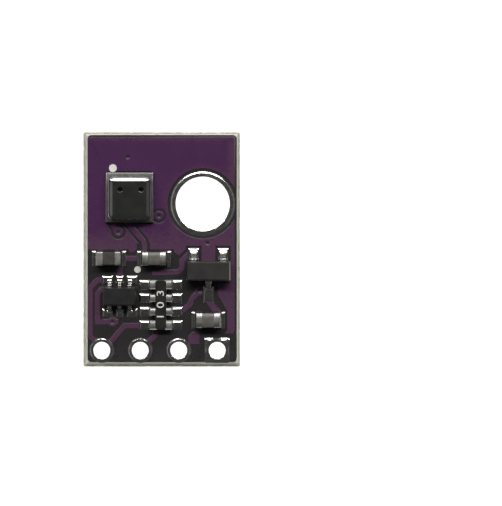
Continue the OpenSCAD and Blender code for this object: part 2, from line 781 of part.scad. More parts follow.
// A wire that leaves a die at y_high, arches over, and lands at y_low, lower than the die's top by drop
module bond_wire(x, y_high, y_low, drop) {
    reach = y_high - y_low;
    translate([x, (y_high + y_low) / 2, lid_base_z + die_t]) {
        rotate([90, 0, 90]) rotate_extrude(angle = 180, $fn = 24)
            translate([reach / 2, 0]) circle(d = wire_d);
        if (drop > 0) {
            translate([0, -reach / 2, -drop]) cylinder(d = wire_d, h = drop, $fn = 24);
        }
    }
}

module sensor_bond_wires() {
    element_edge = element_at.y - element_h / 2;
    readout_front = readout_at.y - readout_h / 2;
    readout_back = readout_at.y + readout_h / 2;
    color(gold_colour) for (i = [-1.5 : 1 : 1.5]) {
        bond_wire(lid_at.x + i * wire_spacing, element_edge + wire_inset, readout_back - wire_inset, 0);
        bond_wire(lid_at.x + 2 * i * wire_spacing, readout_front + wire_inset, readout_front - landing_gap,
            die_t);
    }
}

// Solder on a pad, as thick as the part's terminals stand above the copper
module solder_bed(at, size) {
    translate([at.x, at.y, top_z + copper_t]) linear_extrude(mask_t + solder_gap) square(size, center = true);
}

module sensor_solder() {
    color(tin_colour) for (at = sensor_pads) {
        solder_bed(at, sensor_pad);
    }
}

// Capacitors: a ceramic core with a five-sided metal cap on each end
module capacitor_block(i) {
    translate([capacitors[i][0].x, capacitors[i][0].y, seat_z]) children();
}

module capacitor_core(i) {
    translate([-capacitor_l / 2 + plate_t, -capacitors[i][1] / 2 + plate_t, plate_t])
        cube([capacitor_l - 2 * plate_t, capacitors[i][1] - 2 * plate_t, capacitor_t - 2 * plate_t]);
}

module capacitor_body(i) {
    color(capacitors[i][2]) capacitor_block(i) capacitor_core(i);
}

module capacitor_cap(i, side) {
    color(tin_colour) capacitor_block(i) difference() {
        translate([side * (capacitor_l - capacitor_cap_l) / 2, 0, capacitor_t / 2])
            cube([capacitor_cap_l, capacitors[i][1], capacitor_t], center = true);
        capacitor_core(i);
    }
}

module capacitor_solder(i) {
    run = (capacitor_pad_span - capacitor_l) / 2;
    color(tin_colour) for (side = [0, 1]) {
        translate([capacitors[i][0].x, capacitors[i][0].y, 0]) mirror([side, 0, 0]) {
            solder_bed([capacitor_pad_x, 0], capacitor_pad_size(i));
            translate([capacitor_l / 2, 0, seat_z]) rotate([90, 0, 0])
                linear_extrude(capacitors[i][1], center = true)
                    polygon(fillet_outline(run, capacitor_fillet_rise));
        }
    }
}

// Resistor network: a notched ceramic plate; each tongue between two notches carries a metal terminal
module network_block() {
    translate([network_x, network_y, seat_z]) children();
}

function network_tongue_w(row) = abs(network_rows[row]) > 1 ? network_end_w : network_terminal_w;

module network_tongue(row, side, shrink) {
    length = (network_w - network_core_w) / 2;
    width = network_tongue_w(row) - 2 * shrink;
    translate([side * (network_core_w + length) / 2 - side * shrink / 2,
               network_rows[row] * network_pitch, network_t / 2])
        cube([length - shrink, width, network_t - 2 * shrink], center = true);
}

module network_plate() {
    translate([0, 0, network_t / 2])
        cube([network_core_w, network_l - 2 * plate_t, network_t - 2 * plate_t], center = true);
}

module network_ceramic() {
    color(alumina_colour) network_block() {
        network_plate();
        for (row = [0 : 3], side = [-1, 1]) {
            network_tongue(row, side, plate_t);
        }
    }
}

module network_terminals() {
    color(tin_colour) network_block() for (row = [0 : 3], side = [-1, 1]) {
        difference() {
            network_tongue(row, side, 0);
            network_tongue(row, side, plate_t);
        }
    }
}

module network_film(row) {
    translate([0, network_rows[row] * network_pitch, network_t - plate_t + film_t / 2])
        cube([0.7 * network_core_w, 0.6 * network_terminal_w, film_t], center = true);
}

module network_resistors() {
    color(film_colour) network_block() for (row = [0 : 3]) {
        network_film(row);
    }
}

module network_glaze() {
    color(glaze_colour) network_block() difference() {
        translate([0, 0, network_t - plate_t + glaze_t / 2])
            cube([network_core_w, network_l - 2 * plate_t, glaze_t], center = true);
        for (row = [0 : 3]) {
            network_film(row);
        }
    }
}

module network_solder() {
    run = (network_pad_span - network_w) / 2;
    color(tin_colour) for (side = [0, 1], row = [0 : 3]) {
        translate([network_x, network_y + network_rows[row] * network_pitch, 0]) mirror([side, 0, 0]) {
            solder_bed([network_pad_x, 0], [network_pad_l, network_pad_w]);
            translate([network_w / 2, 0, seat_z]) rotate([90, 0, 0])
                linear_extrude(0.8 * network_terminal_w, center = true)
                    polygon(fillet_outline(0.6 * run, 0.6 * network_t));
        }
    }
}

// Moulded bodies with bent leads
module moulded_block(w, h, t) {
    face = t / 2;
    for_x = [[-w / 2 + mould_draft, -face], [w / 2 - mould_draft, -face], [w / 2, 0],
             [w / 2 - mould_draft, face], [-w / 2 + mould_draft, face], [-w / 2, 0]];
    for_y = [[-h / 2 + mould_draft, -face], [h / 2 - mould_draft, -face], [h / 2, 0],
             [h / 2 - mould_draft, face], [-h / 2 + mould_draft, face], [-h / 2, 0]];
    translate([0, 0, top_z + skin_t + mould_gap + face]) intersection() {
        rotate([90, 0, 0]) linear_extrude(h, center = true) polygon(for_x);
        rotate([90, 0, 90]) linear_extrude(w, center = true) polygon(for_y);
    }
}

// A gull-wing lead that runs out towards +Y, from inside the body down to its foot on the solder
module bent_lead(half_body, half_span, body_t, lead_w, lead_t) {
    exit_z = top_z + skin_t + mould_gap + body_t / 2;
    foot_z = seat_z + lead_t / 2;
    rotate([90, 0, 90]) linear_extrude(lead_w, center = true) polygon(path_outline([
        [half_body - lead_grip, exit_z], [half_body + lead_shoulder, exit_z],
        [half_span - lead_foot, foot_z], [half_span, foot_z]
    ], lead_t));
}

// A pad's bed of solder, with a fillet up the tip of the lead that stands on it
module lead_solder(at, pad, lead_x, tip_y, lead_w, lead_t, side) {
    solder_bed(at, pad);
    edge_y = abs(at.y) + pad.y / 2;
    translate([lead_x, side * tip_y, seat_z]) rotate([90, 0, side * 90])
        linear_extrude(lead_w, center = true)
            polygon(fillet_outline(0.9 * min(edge_y - tip_y, 2 * lead_t), lead_t));
}

// Leads 1 to 3 run along the front edge from left to right, and 4 to 6 come back along the other edge
function transistor_lead_column(i) = i <= 3 ? i - 2 : 5 - i;
function transistor_lead_side(i) = i <= 3 ? 1 : 0;

module transistor_lead(i) {
    x = transistor_x + transistor_lead_column(i) * transistor_lead_pitch;
    color(tin_colour) translate([x, transistor_y, 0]) mirror([0, transistor_lead_side(i), 0])
        bent_lead(transistor_h / 2, transistor_span / 2, transistor_t, transistor_lead_w, transistor_lead_t);
}

module transistor_body() {
    color(mould_colour) difference() {
        translate([transistor_x, transistor_y, 0]) moulded_block(transistor_w, transistor_h, transistor_t);
        for (i = [1 : 6]) {
            transistor_lead(i);
        }
    }
}

module transistor_solder() {
    color(tin_colour) translate([transistor_x, transistor_y, 0]) {
        for (column = transistor_columns, side = [-1, 1]) {
            lead_solder(transistor_pad_at(column, side) - transistor_at, transistor_pad_size(column),
                column * transistor_lead_pitch, transistor_span / 2, transistor_lead_w, transistor_lead_t,
                side);
        }
    }
}

// Leads 1 and 2 stand on the back pads, lead 3 on the front one
module regulator_lead(i) {
    x = i == 3 ? 0 : (i - 1.5) * regulator_lead_pitch;
    color(tin_colour) translate([regulator_x + x, regulator_body_y, 0]) mirror([0, i == 3 ? 1 : 0, 0])
        bent_lead(regulator_h / 2, regulator_span / 2, regulator_t, regulator_lead_w, regulator_lead_t);
}

module regulator_body() {
    color(mould_colour) difference() {
        translate([regulator_x, regulator_body_y, 0]) moulded_block(regulator_w, regulator_h, regulator_t);
        for (i = [1 : 3]) {
            regulator_lead(i);
        }
    }
}

module regulator_solder() {
    color(tin_colour) translate([regulator_x, regulator_y, 0]) {
        for (i = [0 : 2]) {
            local = regulator_pads[i] - regulator_at;
            side = sign(local.y);
            lead_solder(local, regulator_pad_sizes[i], local.x, regulator_span / 2 + side * regulator_shift,
                regulator_lead_w, regulator_lead_t, side);
        }
    }
}

board_laminate();
copper_foil("part");  // top_copper
copper_foil("hidden");  // bottom_copper
solder_mask("part");  // top_solder_mask
solder_mask("hidden");  // bottom_solder_mask
mounting_hole_plating();
for (i = [1 : pin_count]) {
    pin_hole_plating(i);
}
via_barrels();
marking_dots();
sensor_base();
sensor_lid();
die(element_at, element_w, element_h);  // sensor_element
die(readout_at, readout_w, readout_h);  // sensor_readout_chip
sensor_bond_wires();
sensor_solder();
for (i = [1 : len(capacitors)]) {
    capacitor_body(i - 1);
    capacitor_cap(i - 1, -1);
    capacitor_cap(i - 1, 1);
    capacitor_solder(i - 1);
}
network_ceramic();
network_resistors();
network_glaze();
network_terminals();
network_solder();
transistor_body();
for (i = [1 : 6]) {
    transistor_lead(i);
}
transistor_solder();
regulator_body();
for (i = [1 : 3]) {
    regulator_lead(i);
}
regulator_solder();
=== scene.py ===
"""A small purple circuit board with a metal-lidded temperature and humidity sensor.

The board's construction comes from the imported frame, and this script gives it its rounded edges, solder,
relief and finishes. Shapes are worked in millimetres and brought to metres when a piece is settled. X runs
across the board, Y along it towards the sensor's end, and Z up from the surface that it rests on.
"""

import json
import logging
import math
from contextlib import contextmanager
from dataclasses import dataclass, field
from enum import Enum
from functools import cache
from typing import Callable, ClassVar, Iterable, Iterator, Optional, Sequence

import bmesh
import bpy
from mathutils import Matrix, Vector, noise

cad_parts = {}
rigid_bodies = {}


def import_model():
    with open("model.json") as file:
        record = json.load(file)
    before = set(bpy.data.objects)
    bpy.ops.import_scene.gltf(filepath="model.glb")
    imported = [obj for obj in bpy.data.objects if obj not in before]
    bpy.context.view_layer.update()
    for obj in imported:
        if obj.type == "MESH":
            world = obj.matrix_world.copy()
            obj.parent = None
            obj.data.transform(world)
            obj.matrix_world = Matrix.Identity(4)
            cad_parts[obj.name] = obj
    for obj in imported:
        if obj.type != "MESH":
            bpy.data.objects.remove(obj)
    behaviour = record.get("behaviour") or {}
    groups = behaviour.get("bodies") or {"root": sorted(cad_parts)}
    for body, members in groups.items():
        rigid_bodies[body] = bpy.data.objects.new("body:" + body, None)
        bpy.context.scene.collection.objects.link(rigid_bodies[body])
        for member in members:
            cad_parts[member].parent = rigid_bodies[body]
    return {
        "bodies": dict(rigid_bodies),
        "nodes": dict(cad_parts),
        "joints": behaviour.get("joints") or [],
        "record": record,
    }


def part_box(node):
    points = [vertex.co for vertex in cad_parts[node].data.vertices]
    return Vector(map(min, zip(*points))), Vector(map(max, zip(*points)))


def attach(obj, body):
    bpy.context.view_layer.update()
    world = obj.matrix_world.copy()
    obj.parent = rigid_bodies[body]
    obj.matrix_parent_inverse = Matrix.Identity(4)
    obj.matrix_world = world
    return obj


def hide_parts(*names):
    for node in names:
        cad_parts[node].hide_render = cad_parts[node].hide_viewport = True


log = logging.getLogger("board")

MM = 0.001
BODY = "root"
UP = Vector((0, 0, 1))
EdgeTest = Callable[[Vector, Vector, float], bool]

# Millimetres: vertices closer than MERGE become one, and places closer than TOUCH agree.
MERGE = 0.0004
TOUCH = 0.001
# Degrees: faces that differ by less than FLAT are joined, and outer edges sharper than SHARP are rounded.
FLAT = 1.0
SHARP = 35.0


class Kind(Enum):
    """What an edit picks."""

    VERTEX = "VERT"
    EDGE = "EDGE"
    FACE = "FACE"


class Side(Enum):
    """A face of the board, with the way that it looks."""

    PARTS = 1
    HIDDEN = -1


@dataclass(frozen=True)
class Box:
    """A box in millimetres, from its lowest to its highest corner."""

    low: Vector
    high: Vector

    @property
    def centre(self) -> Vector:
        """The box's middle."""
        return (self.low + self.high) / 2

    @property
    def size(self) -> Vector:
        """The box's extents."""
        return self.high - self.low

    def holds(self, place: Vector, margin: float = 0.0) -> bool:
        """Whether a place lies over the box, seen from above.

        Args:
            place: the place to test.
            margin: how far outside the box still counts.
        """
        return all(self.low[i] - margin <= place[i] <= self.high[i] + margin for i in (0, 1))

    def gap(self, place: Vector) -> float:
        """How far a place lies outside the box, seen from above."""
        return math.hypot(*(max(self.low[i] - place[i], 0.0, place[i] - self.high[i]) for i in (0, 1)))


class Frame:
    """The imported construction, read in millimetres."""

    def __init__(self) -> None:
        """Loads the frame."""
        self.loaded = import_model()

    def box(self, node: str) -> Box:
        """The box of a node.

        Args:
            node: the node's name.

        Returns:
            Its box in millimetres.
        """
        low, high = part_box(node)
        return Box(low / MM, high / MM)

    def mount(self, name: str) -> dict:
        """A mount of the record.

        Args:
            name: the mount's name.

        Returns:
            The mount's entry.
        """
        return next(m for m in self.loaded["record"]["mounts"] if m["name"] == name)

    def solids(self, node: str) -> list[Box]:
        """The boxes of a node's separate solids, found by what their triangles share.

        Args:
            node: the node's name.

        Returns:
            One box for each solid, from left to right and front to back.
        """
        mesh = self.loaded["nodes"][node].data
        keys = [tuple(round(c / MM, 4) for c in v.co) for v in mesh.vertices]
        parent = {key: key for key in keys}

        def root(key: tuple) -> tuple:
            """The key that stands for a key's solid."""
            while parent[key] != key:
                parent[key] = parent[parent[key]]
                key = parent[key]
            return key

        for face in mesh.polygons:
            first = root(keys[face.vertices[0]])
            for other in face.vertices[1:]:
                parent[root(keys[other])] = first
        groups: dict[tuple, list[tuple]] = {}
        for key in parent:
            groups.setdefault(root(key), []).append(key)
        boxes = [
            Box(*(Vector(limit(p[i] for p in group) for i in range(3)) for limit in (min, max)))
            for group in groups.values()
        ]
        return sorted(boxes, key=lambda b: (round(b.centre.x, 2), round(b.centre.y, 2)))

    def copy(self, node: str) -> bpy.types.Object:
        """A merged copy of a node's mesh, in millimetres, to be shaped further.

        Args:
            node: the node's name.

        Returns:
            The copy.
        """
        mesh = self.loaded["nodes"][node].data.copy()
        mesh.materials.clear()
        mesh.transform(Matrix.Scale(1 / MM, 4))
        piece = bpy.data.objects.new(node, mesh)
        bpy.context.scene.collection.objects.link(piece)
        with editing(piece, Kind.VERTEX):
            bpy.ops.mesh.select_all(action="SELECT")
            bpy.ops.mesh.remove_doubles(threshold=MERGE)
            bpy.ops.mesh.customdata_custom_splitnormals_clear()
        return piece


def select_only(*pieces: bpy.types.Object) -> None:
    """Selects these pieces alone, with the first one active."""
    for other in list(bpy.context.selected_objects):
        other.select_set(False)
    for piece in pieces:
        piece.select_set(True)
    bpy.context.view_layer.objects.active = pieces[0]


@contextmanager
def editing(piece: bpy.types.Object, kind: Kind = Kind.FACE) -> Iterator[None]:
    """Opens a piece in edit mode, with nothing selected.

    Args:
        piece: the piece to edit.
        kind: what its edits select.
    """
    select_only(piece)
    bpy.ops.object.mode_set(mode="EDIT")
    bpy.ops.mesh.select_mode(type=kind.value)
    bpy.ops.mesh.select_all(action="DESELECT")
    yield
    bpy.ops.object.mode_set(mode="OBJECT")


def pick_faces(piece: bpy.types.Object, wanted: Callable[[Vector, Vector], bool]) -> int:
    """Selects faces of the piece being edited, and nothing else.

    Args:
        piece: the piece.
        wanted: says yes or no for a face's centre and normal.

    Returns:
        How many faces it picked.
    """
    bpy.ops.mesh.select_mode(type=Kind.FACE.value)
    bpy.ops.mesh.select_all(action="DESELECT")
    mesh = bmesh.from_edit_mesh(piece.data)
    picked = [face for face in mesh.faces if wanted(face.calc_center_median(), face.normal)]
    for face in picked:
        face.select_set(True)
    bmesh.update_edit_mesh(piece.data)
    return len(picked)


def pick_edges(piece: bpy.types.Object, wanted: EdgeTest) -> int:
    """Selects edges of the piece being edited, and nothing else.

    Args:
        piece: the piece.
        wanted: says yes or no for an edge's two ends and the angle between its faces, in degrees.

    Returns:
        How many edges it picked.
    """
    bpy.ops.mesh.select_mode(type=Kind.EDGE.value)
    bpy.ops.mesh.select_all(action="DESELECT")
    mesh = bmesh.from_edit_mesh(piece.data)
    picked = [
        edge
        for edge in mesh.edges
        if wanted(edge.verts[0].co, edge.verts[1].co, math.degrees(edge.calc_face_angle_signed(0.0)))
    ]
    for edge in picked:
        edge.select_set(True)
    bmesh.update_edit_mesh(piece.data)
    return len(picked)


def reshape(piece: bpy.types.Object, rule: Callable[[Vector], Vector]) -> None:
    """Moves each vertex of a piece to where a rule puts it.

    Args:
        piece: the piece, in object mode.
        rule: gives a vertex's new place from its old one.
    """
    for vertex in piece.data.vertices:
        vertex.co = rule(vertex.co.copy())
    piece.data.update()


def apply_modifier(piece: bpy.types.Object, kind: str, **settings: object) -> None:
    """Adds a modifier and applies it.

    Args:
        piece: the piece.
        kind: the modifier's type.
        settings: its properties.
    """
    select_only(piece)
    modifier = piece.modifiers.new(kind.title(), kind)
    for name, value in settings.items():
        setattr(modifier, name, value)
    bpy.ops.object.modifier_apply(modifier=modifier.name)


def applied() -> bpy.types.Object:
    """The primitive that was just added, with its place brought into its mesh."""
    piece = bpy.context.object
    select_only(piece)
    bpy.ops.object.transform_apply(location=True, rotation=True, scale=True)
    return piece


def cylinder(middle: Vector, radius: float, depth: float, sides: int) -> bpy.types.Object:
    """An upright cylinder.

    Args:
        middle: its middle.
        radius: its radius.
        depth: its height.
        sides: how many sides it has.

    Returns:
        The cylinder, with its place on its object.
    """
    bpy.ops.mesh.primitive_cylinder_add(vertices=sides, radius=radius, depth=depth, location=middle)
    return bpy.context.object


def cut(piece: bpy.types.Object, cutter: bpy.types.Object) -> None:
    """Cuts a closed shape out of a piece, and deletes that shape."""
    apply_modifier(piece, "BOOLEAN", object=cutter, operation="DIFFERENCE", solver="EXACT")
    bpy.data.objects.remove(cutter)


def flatten(piece: bpy.types.Object) -> None:
    """Joins the triangles of each flat face into one face."""
    with editing(piece):
        bpy.ops.mesh.select_all(action="SELECT")
        bpy.ops.mesh.dissolve_limited(angle_limit=math.radians(FLAT))


def smooth(piece: bpy.types.Object, angle: float = 50.0, weighted: bool = True) -> None:
    """Shades a piece smooth, but for its sharp edges.

    Args:
        piece: the piece.
        angle: edges sharper than this many degrees stay sharp.
        weighted: whether large flat faces keep their own shading up to their edges.
    """
    select_only(piece)
    bpy.ops.object.shade_smooth_by_angle(angle=math.radians(angle))
    if weighted:
        apply_modifier(piece, "WEIGHTED_NORMAL", keep_sharp=True, weight=80)


def bevel_edges(
    piece: bpy.types.Object, width: float, segments: int = 3, wanted: Optional[EdgeTest] = None
) -> None:
    """Rounds edges of a piece.

    Args:
        piece: the piece.
        width: the bevel's offset in millimetres.
        segments: how many faces it has across.
        wanted: picks the edges, or None for each outer edge sharper than SHARP.
    """
    with editing(piece, Kind.EDGE):
        if pick_edges(piece, wanted or (lambda a, b, angle: angle > SHARP)):
            bpy.ops.mesh.bevel(
                offset_type="OFFSET", offset=width, segments=segments, profile=0.5, affect="EDGES",
                clamp_overlap=True,
            )


def upright(a: Vector, b: Vector, angle: float) -> bool:
    """Whether an edge stands up."""
    return abs(a.z - b.z) > 0.01


def rounded(
    frame: Frame, node: str, radius: float, segments: int, wanted: Optional[EdgeTest] = None
) -> bpy.types.Object:
    """A copy of a node with rounded edges.

    Args:
        frame: the construction.
        node: the node.
        radius: the bevel's offset in millimetres.
        segments: how many faces it has across.
        wanted: picks the edges, or None for each sharp outer edge.

    Returns:
        The copy.
    """
    piece = frame.copy(node)
    flatten(piece)
    bevel_edges(piece, radius, segments, wanted)
    return piece


def on_box_edges(boxes: Sequence[Box], skip: Callable[[Vector, Box], bool]) -> EdgeTest:
    """A test for edges that lie along an outer edge of one of some boxes.

    Args:
        boxes: the boxes.
        skip: says yes for the middle of an edge that is left out.

    Returns:
        The test, for pick_edges.
    """

    def along(a: Vector, b: Vector, angle: float) -> bool:
        """Whether two of the three coordinates stay at a limit of a box."""
        middle = (a + b) / 2
        for box in boxes:
            sides = [min(abs(middle[i] - box.low[i]), abs(middle[i] - box.high[i])) for i in range(3)]
            limits = sum(1 for i in range(3) if abs(a[i] - b[i]) < TOUCH and sides[i] < TOUCH)
            inside = all(box.low[i] - TOUCH < middle[i] < box.high[i] + TOUCH for i in range(3))
            if limits >= 2 and inside and not skip(middle, box):
                return True
        return False

    return along


def block(box: Box) -> bpy.types.Object:
    """A cube brought to a box, as a start.

    Args:
        box: the box that it fills.

    Returns:
        The piece, with its place in its mesh.
    """
    bpy.ops.mesh.primitive_cube_add(size=1, location=box.centre, scale=box.size)
    return applied()


def shouldered(box: Box, corner_r: float, steps: Sequence[tuple[float, float]]) -> bpy.types.Object:
    """A block with rounded corners and a shoulder that leads up to its top.

    Args:
        box: the box that it fills.
        corner_r: radius of its upright corners, more than the shoulder goes in, or 0 for sharp ones.
        steps: how far in and how far up each step of the shoulder goes, from its side to its top.

    Returns:
        The piece.
    """
    shoulder = sum(up for _, up in steps)
    piece = block(Box(box.low, Vector((box.high.x, box.high.y, box.high.z - shoulder))))
    if corner_r:
        bevel_edges(piece, corner_r, 12, upright)
    with editing(piece):
        pick_faces(piece, lambda c, n: n.z > 0.9)
        for inwards, up in steps:
            bpy.ops.mesh.inset(thickness=inwards, depth=up, use_even_offset=True)
    return piece


def turned(profile: Sequence[tuple[float, float]], at: Vector, segments: int) -> bpy.types.Object:
    """A ring turned round an upright line: a circle that is extruded and resized along a closed profile.

    Args:
        profile: radius and height of each of its points, in order.
        at: a place on the line.
        segments: how many points a circle has.

    Returns:
        The piece.
    """
    radius, height = profile[0]
    bpy.ops.mesh.primitive_circle_add(
        vertices=segments, radius=radius, fill_type="NOTHING", location=(at.x, at.y, height)
    )
    piece = applied()
    with editing(piece, Kind.EDGE):
        bpy.ops.mesh.select_all(action="SELECT")
        for new_radius, new_height in [*profile[1:], profile[0]]:
            bpy.ops.mesh.extrude_edges_move(
                MESH_OT_extrude_edges_indiv={}, TRANSFORM_OT_translate={"value": (0, 0, new_height - height)}
            )
            ratio = new_radius / radius
            bpy.ops.transform.resize(value=(ratio, ratio, 1), center_override=(at.x, at.y, new_height))
            radius, height = new_radius, new_height
        bpy.ops.mesh.select_all(action="SELECT")
        bpy.ops.mesh.remove_doubles(threshold=MERGE)
        bpy.ops.mesh.normals_make_consistent(inside=False)
    return piece


def crown(piece: bpy.types.Object, boxes: Sequence[Box], drop: float, cuts: int = 14) -> None:
    """Rounds the flat top of a piece, or of each of its solids, so that it falls towards its front and back.

    Args:
        piece: the piece.
        boxes: the box of each of its solids.
        drop: how far its top falls.
        cuts: how many times each top is cut across.
    """
    across = Vector((0, 1, 0))
    places = {round(b.centre.y + b.size.y * (i / cuts - 0.5), 5) for b in boxes for i in range(1, cuts)}
    with editing(piece):
        for place in sorted(places):
            bpy.ops.mesh.select_all(action="SELECT")
            bpy.ops.mesh.bisect(plane_co=across * place, plane_no=across, threshold=0.00005)

    def fall(place: Vector) -> Vector:
        """Lowers a vertex by how far it lies from the middle of its own solid."""
        box = next((b for b in boxes if b.holds(place, 2 * TOUCH)), None)
        if box is not None:
            reach = 2 * abs(place.y - box.centre.y) / box.size.y
            share = max(0.0, (place.z - box.centre.z) / (box.high.z - box.centre.z))
            place.z -= drop * min(1.0, reach) ** 3.0 * share**2
        return place

    reshape(piece, fall)


def join(pieces: Sequence[bpy.types.Object]) -> bpy.types.Object:
    """Joins some pieces into the first one."""
    select_only(*pieces)
    if len(pieces) > 1:
        bpy.ops.object.join()
    return pieces[0]


def wander(place: Vector, scale: float, seed: float = 0.0) -> float:
    """A smooth irregular value from -1 to 1.

    Args:
        place: where it is read, in millimetres.
        scale: how many of its swells fit in a millimetre.
        seed: sets it apart from others.

    Returns:
        The value.
    """
    return noise.noise(place * scale + Vector((seed * 7.31, seed * 3.17, seed * 5.53)))


def settle(
    piece: bpy.types.Object, name: str, finish: "Finish", stands_for: Sequence[str] = ()
) -> bpy.types.Object:
    """Brings a finished piece from millimetres to metres and hands it to the frame.

    Args:
        piece: the piece, modelled in millimetres.
        name: its name.
        finish: its finish.
        stands_for: the nodes that it replaces.

    Returns:
        The piece.
    """
    piece.data.transform(Matrix.Scale(MM, 4))
    piece.data.update()
    piece.name = name
    piece.data.name = name
    piece.data.materials.clear()
    piece.data.materials.append(finish.material())
    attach(piece, BODY)
    if stands_for:
        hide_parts(*stands_for)
    log.info("%s: %d faces, %s", name, len(piece.data.polygons), finish.slot)
    return piece


def dress(frame: Frame, nodes: Iterable[str], finish: "Finish") -> None:
    """Gives nodes that stay as they are their finish.

    Args:
        frame: the frame.
        nodes: the nodes' names.
        finish: their finish.
    """
    for node in nodes:
        piece = frame.loaded["nodes"][node]
        if not piece.material_slots:
            piece.data.materials.append(None)
        for material_slot in piece.material_slots:
            material_slot.material = finish.material()
        log.info("%s: kept, %s", node, finish.slot)


# Shader nodes

Socket = bpy.types.NodeSocket


class Shading:
    """Adds nodes to a material's tree or to a group's."""

    def __init__(self, tree: bpy.types.NodeTree) -> None:
        """Starts on an empty tree."""
        self.tree = tree
        tree.nodes.clear()

    def add(self, kind: str, inputs: Optional[dict] = None, **settings: object) -> bpy.types.Node:
        """Adds one node.

        Args:
            kind: the node's type, without its ShaderNode prefix.
            inputs: its inputs by name or number, each a socket to link or a value.
            settings: its properties.

        Returns:
            The node.
        """
        node = self.tree.nodes.new("ShaderNode" + kind)
        for name, value in settings.items():
            setattr(node, name, value)
        for name, value in (inputs or {}).items():
            if isinstance(value, Socket):
                self.tree.links.new(value, node.inputs[name])
            else:
                node.inputs[name].default_value = value
        return node

    def place(self) -> Socket:
        """The place on the piece, in millimetres."""
        place = self.add("TexCoord").outputs["Object"]
        return self.add("VectorMath", {0: place, 1: (1 / MM,) * 3}, operation="MULTIPLY").outputs[0]

    def sum(self, operation: str, a: Socket | float, b: Socket | float = 0.0, clamp: bool = False) -> Socket:
        """One step of arithmetic."""
        return self.add("Math", {0: a, 1: b}, operation=operation, use_clamp=clamp).outputs[0]

    def between(self, value: Socket, low: float, high: float, start: float = 0.0, end: float = 1.0) -> Socket:
        """A smooth step of a value, from start at low to end at high.

        Args:
            value: the value.
            low: where the step begins.
            high: where it ends.
            start: its result up to low.
            end: its result from high.

        Returns:
            The result.
        """
        inputs = {"Value": value, "From Min": low, "From Max": high, "To Min": start, "To Max": end}
        return self.add("MapRange", inputs, interpolation_type="SMOOTHSTEP").outputs["Result"]

    def mix(self, factor: Socket | float, a: Socket | tuple, b: Socket | tuple) -> Socket:
        """A colour between two colours."""
        pick = [c if isinstance(c, Socket) else (*c[:3], 1.0) for c in (a, b)]
        return self.add("Mix", {0: factor, 6: pick[0], 7: pick[1]}, data_type="RGBA").outputs[2]

    def group(self, tree: bpy.types.NodeTree, **inputs: Socket | float) -> bpy.types.Node:
        """Places a node group, with its inputs by name."""
        return self.add("Group", inputs, node_tree=tree)


def new_group(
    name: str, inputs: Sequence[tuple[str, float]], outputs: Sequence[str]
) -> tuple[Shading, dict, Callable]:
    """Starts a node group.

    Args:
        name: the group's name.
        inputs: name and default of each input.
        outputs: the outputs' names.

    Returns:
        What adds nodes to it, its input sockets by name, and what links a socket to a named output.
    """
    tree = bpy.data.node_groups.new(name, "ShaderNodeTree")
    for label, default in inputs:
        tree.interface.new_socket(label, in_out="INPUT", socket_type="NodeSocketFloat").default_value = default
    for label in outputs:
        tree.interface.new_socket(label, in_out="OUTPUT", socket_type="NodeSocketFloat")
    shading = Shading(tree)
    start = tree.nodes.new("NodeGroupInput")
    end = tree.nodes.new("NodeGroupOutput")
    given = {socket.name: socket for socket in start.outputs if socket.name}
    return shading, given, lambda socket, label: tree.links.new(socket, end.inputs[label])


class Effects:
    """The node groups that several finishes share, each built once."""

    @staticmethod
    @cache
    def grain() -> bpy.types.NodeTree:
        """A cloudy tone with a fine grain: Tone for colour and roughness, Height for bump."""
        shading, given, give = new_group("Grain", [("Clouds", 1.5), ("Fineness", 20.0)], ["Tone", "Height"])
        place = shading.place()
        clouds = shading.add("TexNoise", {"Vector": place, "Scale": given["Clouds"], "Detail": 3.0}).outputs[0]
        fine = shading.add("TexNoise", {"Vector": place, "Scale": given["Fineness"], "Detail": 2.0}).outputs[0]
        both = shading.sum("ADD", shading.sum("MULTIPLY", clouds, 0.65), shading.sum("MULTIPLY", fine, 0.35))
        give(shading.between(both, 0.3, 0.7), "Tone")
        give(fine, "Height")
        return shading.tree

    @staticmethod
    @cache
    def specks() -> bpy.types.NodeTree:
        """Scattered small spots: Mask is 1 on a spot and 0 off it."""
        shading, given, give = new_group("Specks", [("Density", 5.0), ("Size", 0.2), ("Share", 0.4)], ["Mask"])
        cells = shading.add(
            "TexVoronoi", {"Vector": shading.place(), "Scale": given["Density"], "Randomness": 1.0}
        )
        chance = shading.add("SeparateColor", {0: cells.outputs["Color"]}).outputs[0]
        kept = shading.sum("LESS_THAN", chance, given["Share"])
        size = shading.sum("MULTIPLY", given["Size"], shading.sum("ADD", chance, 0.6))
        far = shading.sum("DIVIDE", cells.outputs["Distance"], size)
        close = shading.sum("SUBTRACT", 1.0, far, clamp=True)
        give(shading.sum("MULTIPLY", shading.between(close, 0.0, 0.5), kept), "Mask")
        return shading.tree

    @staticmethod
    @cache
    def scratches() -> bpy.types.NodeTree:
        """Fine lines across a surface at an angle: Lines for colour, roughness or bump."""
        shading, given, give = new_group("Scratches", [("Angle", 0.4), ("Fineness", 30.0)], ["Lines"])
        turn = shading.add("VectorRotate", {"Vector": shading.place(), "Angle": given["Angle"]}).outputs[0]
        long = shading.add("VectorMath", {0: turn, 1: (1.0, 0.06, 1.0)}, operation="MULTIPLY").outputs[0]
        lines = shading.add("TexNoise", {"Vector": long, "Scale": given["Fineness"], "Detail": 2.0})
        give(shading.between(lines.outputs[0], 0.42, 0.68), "Lines")
        return shading.tree


# Finishes


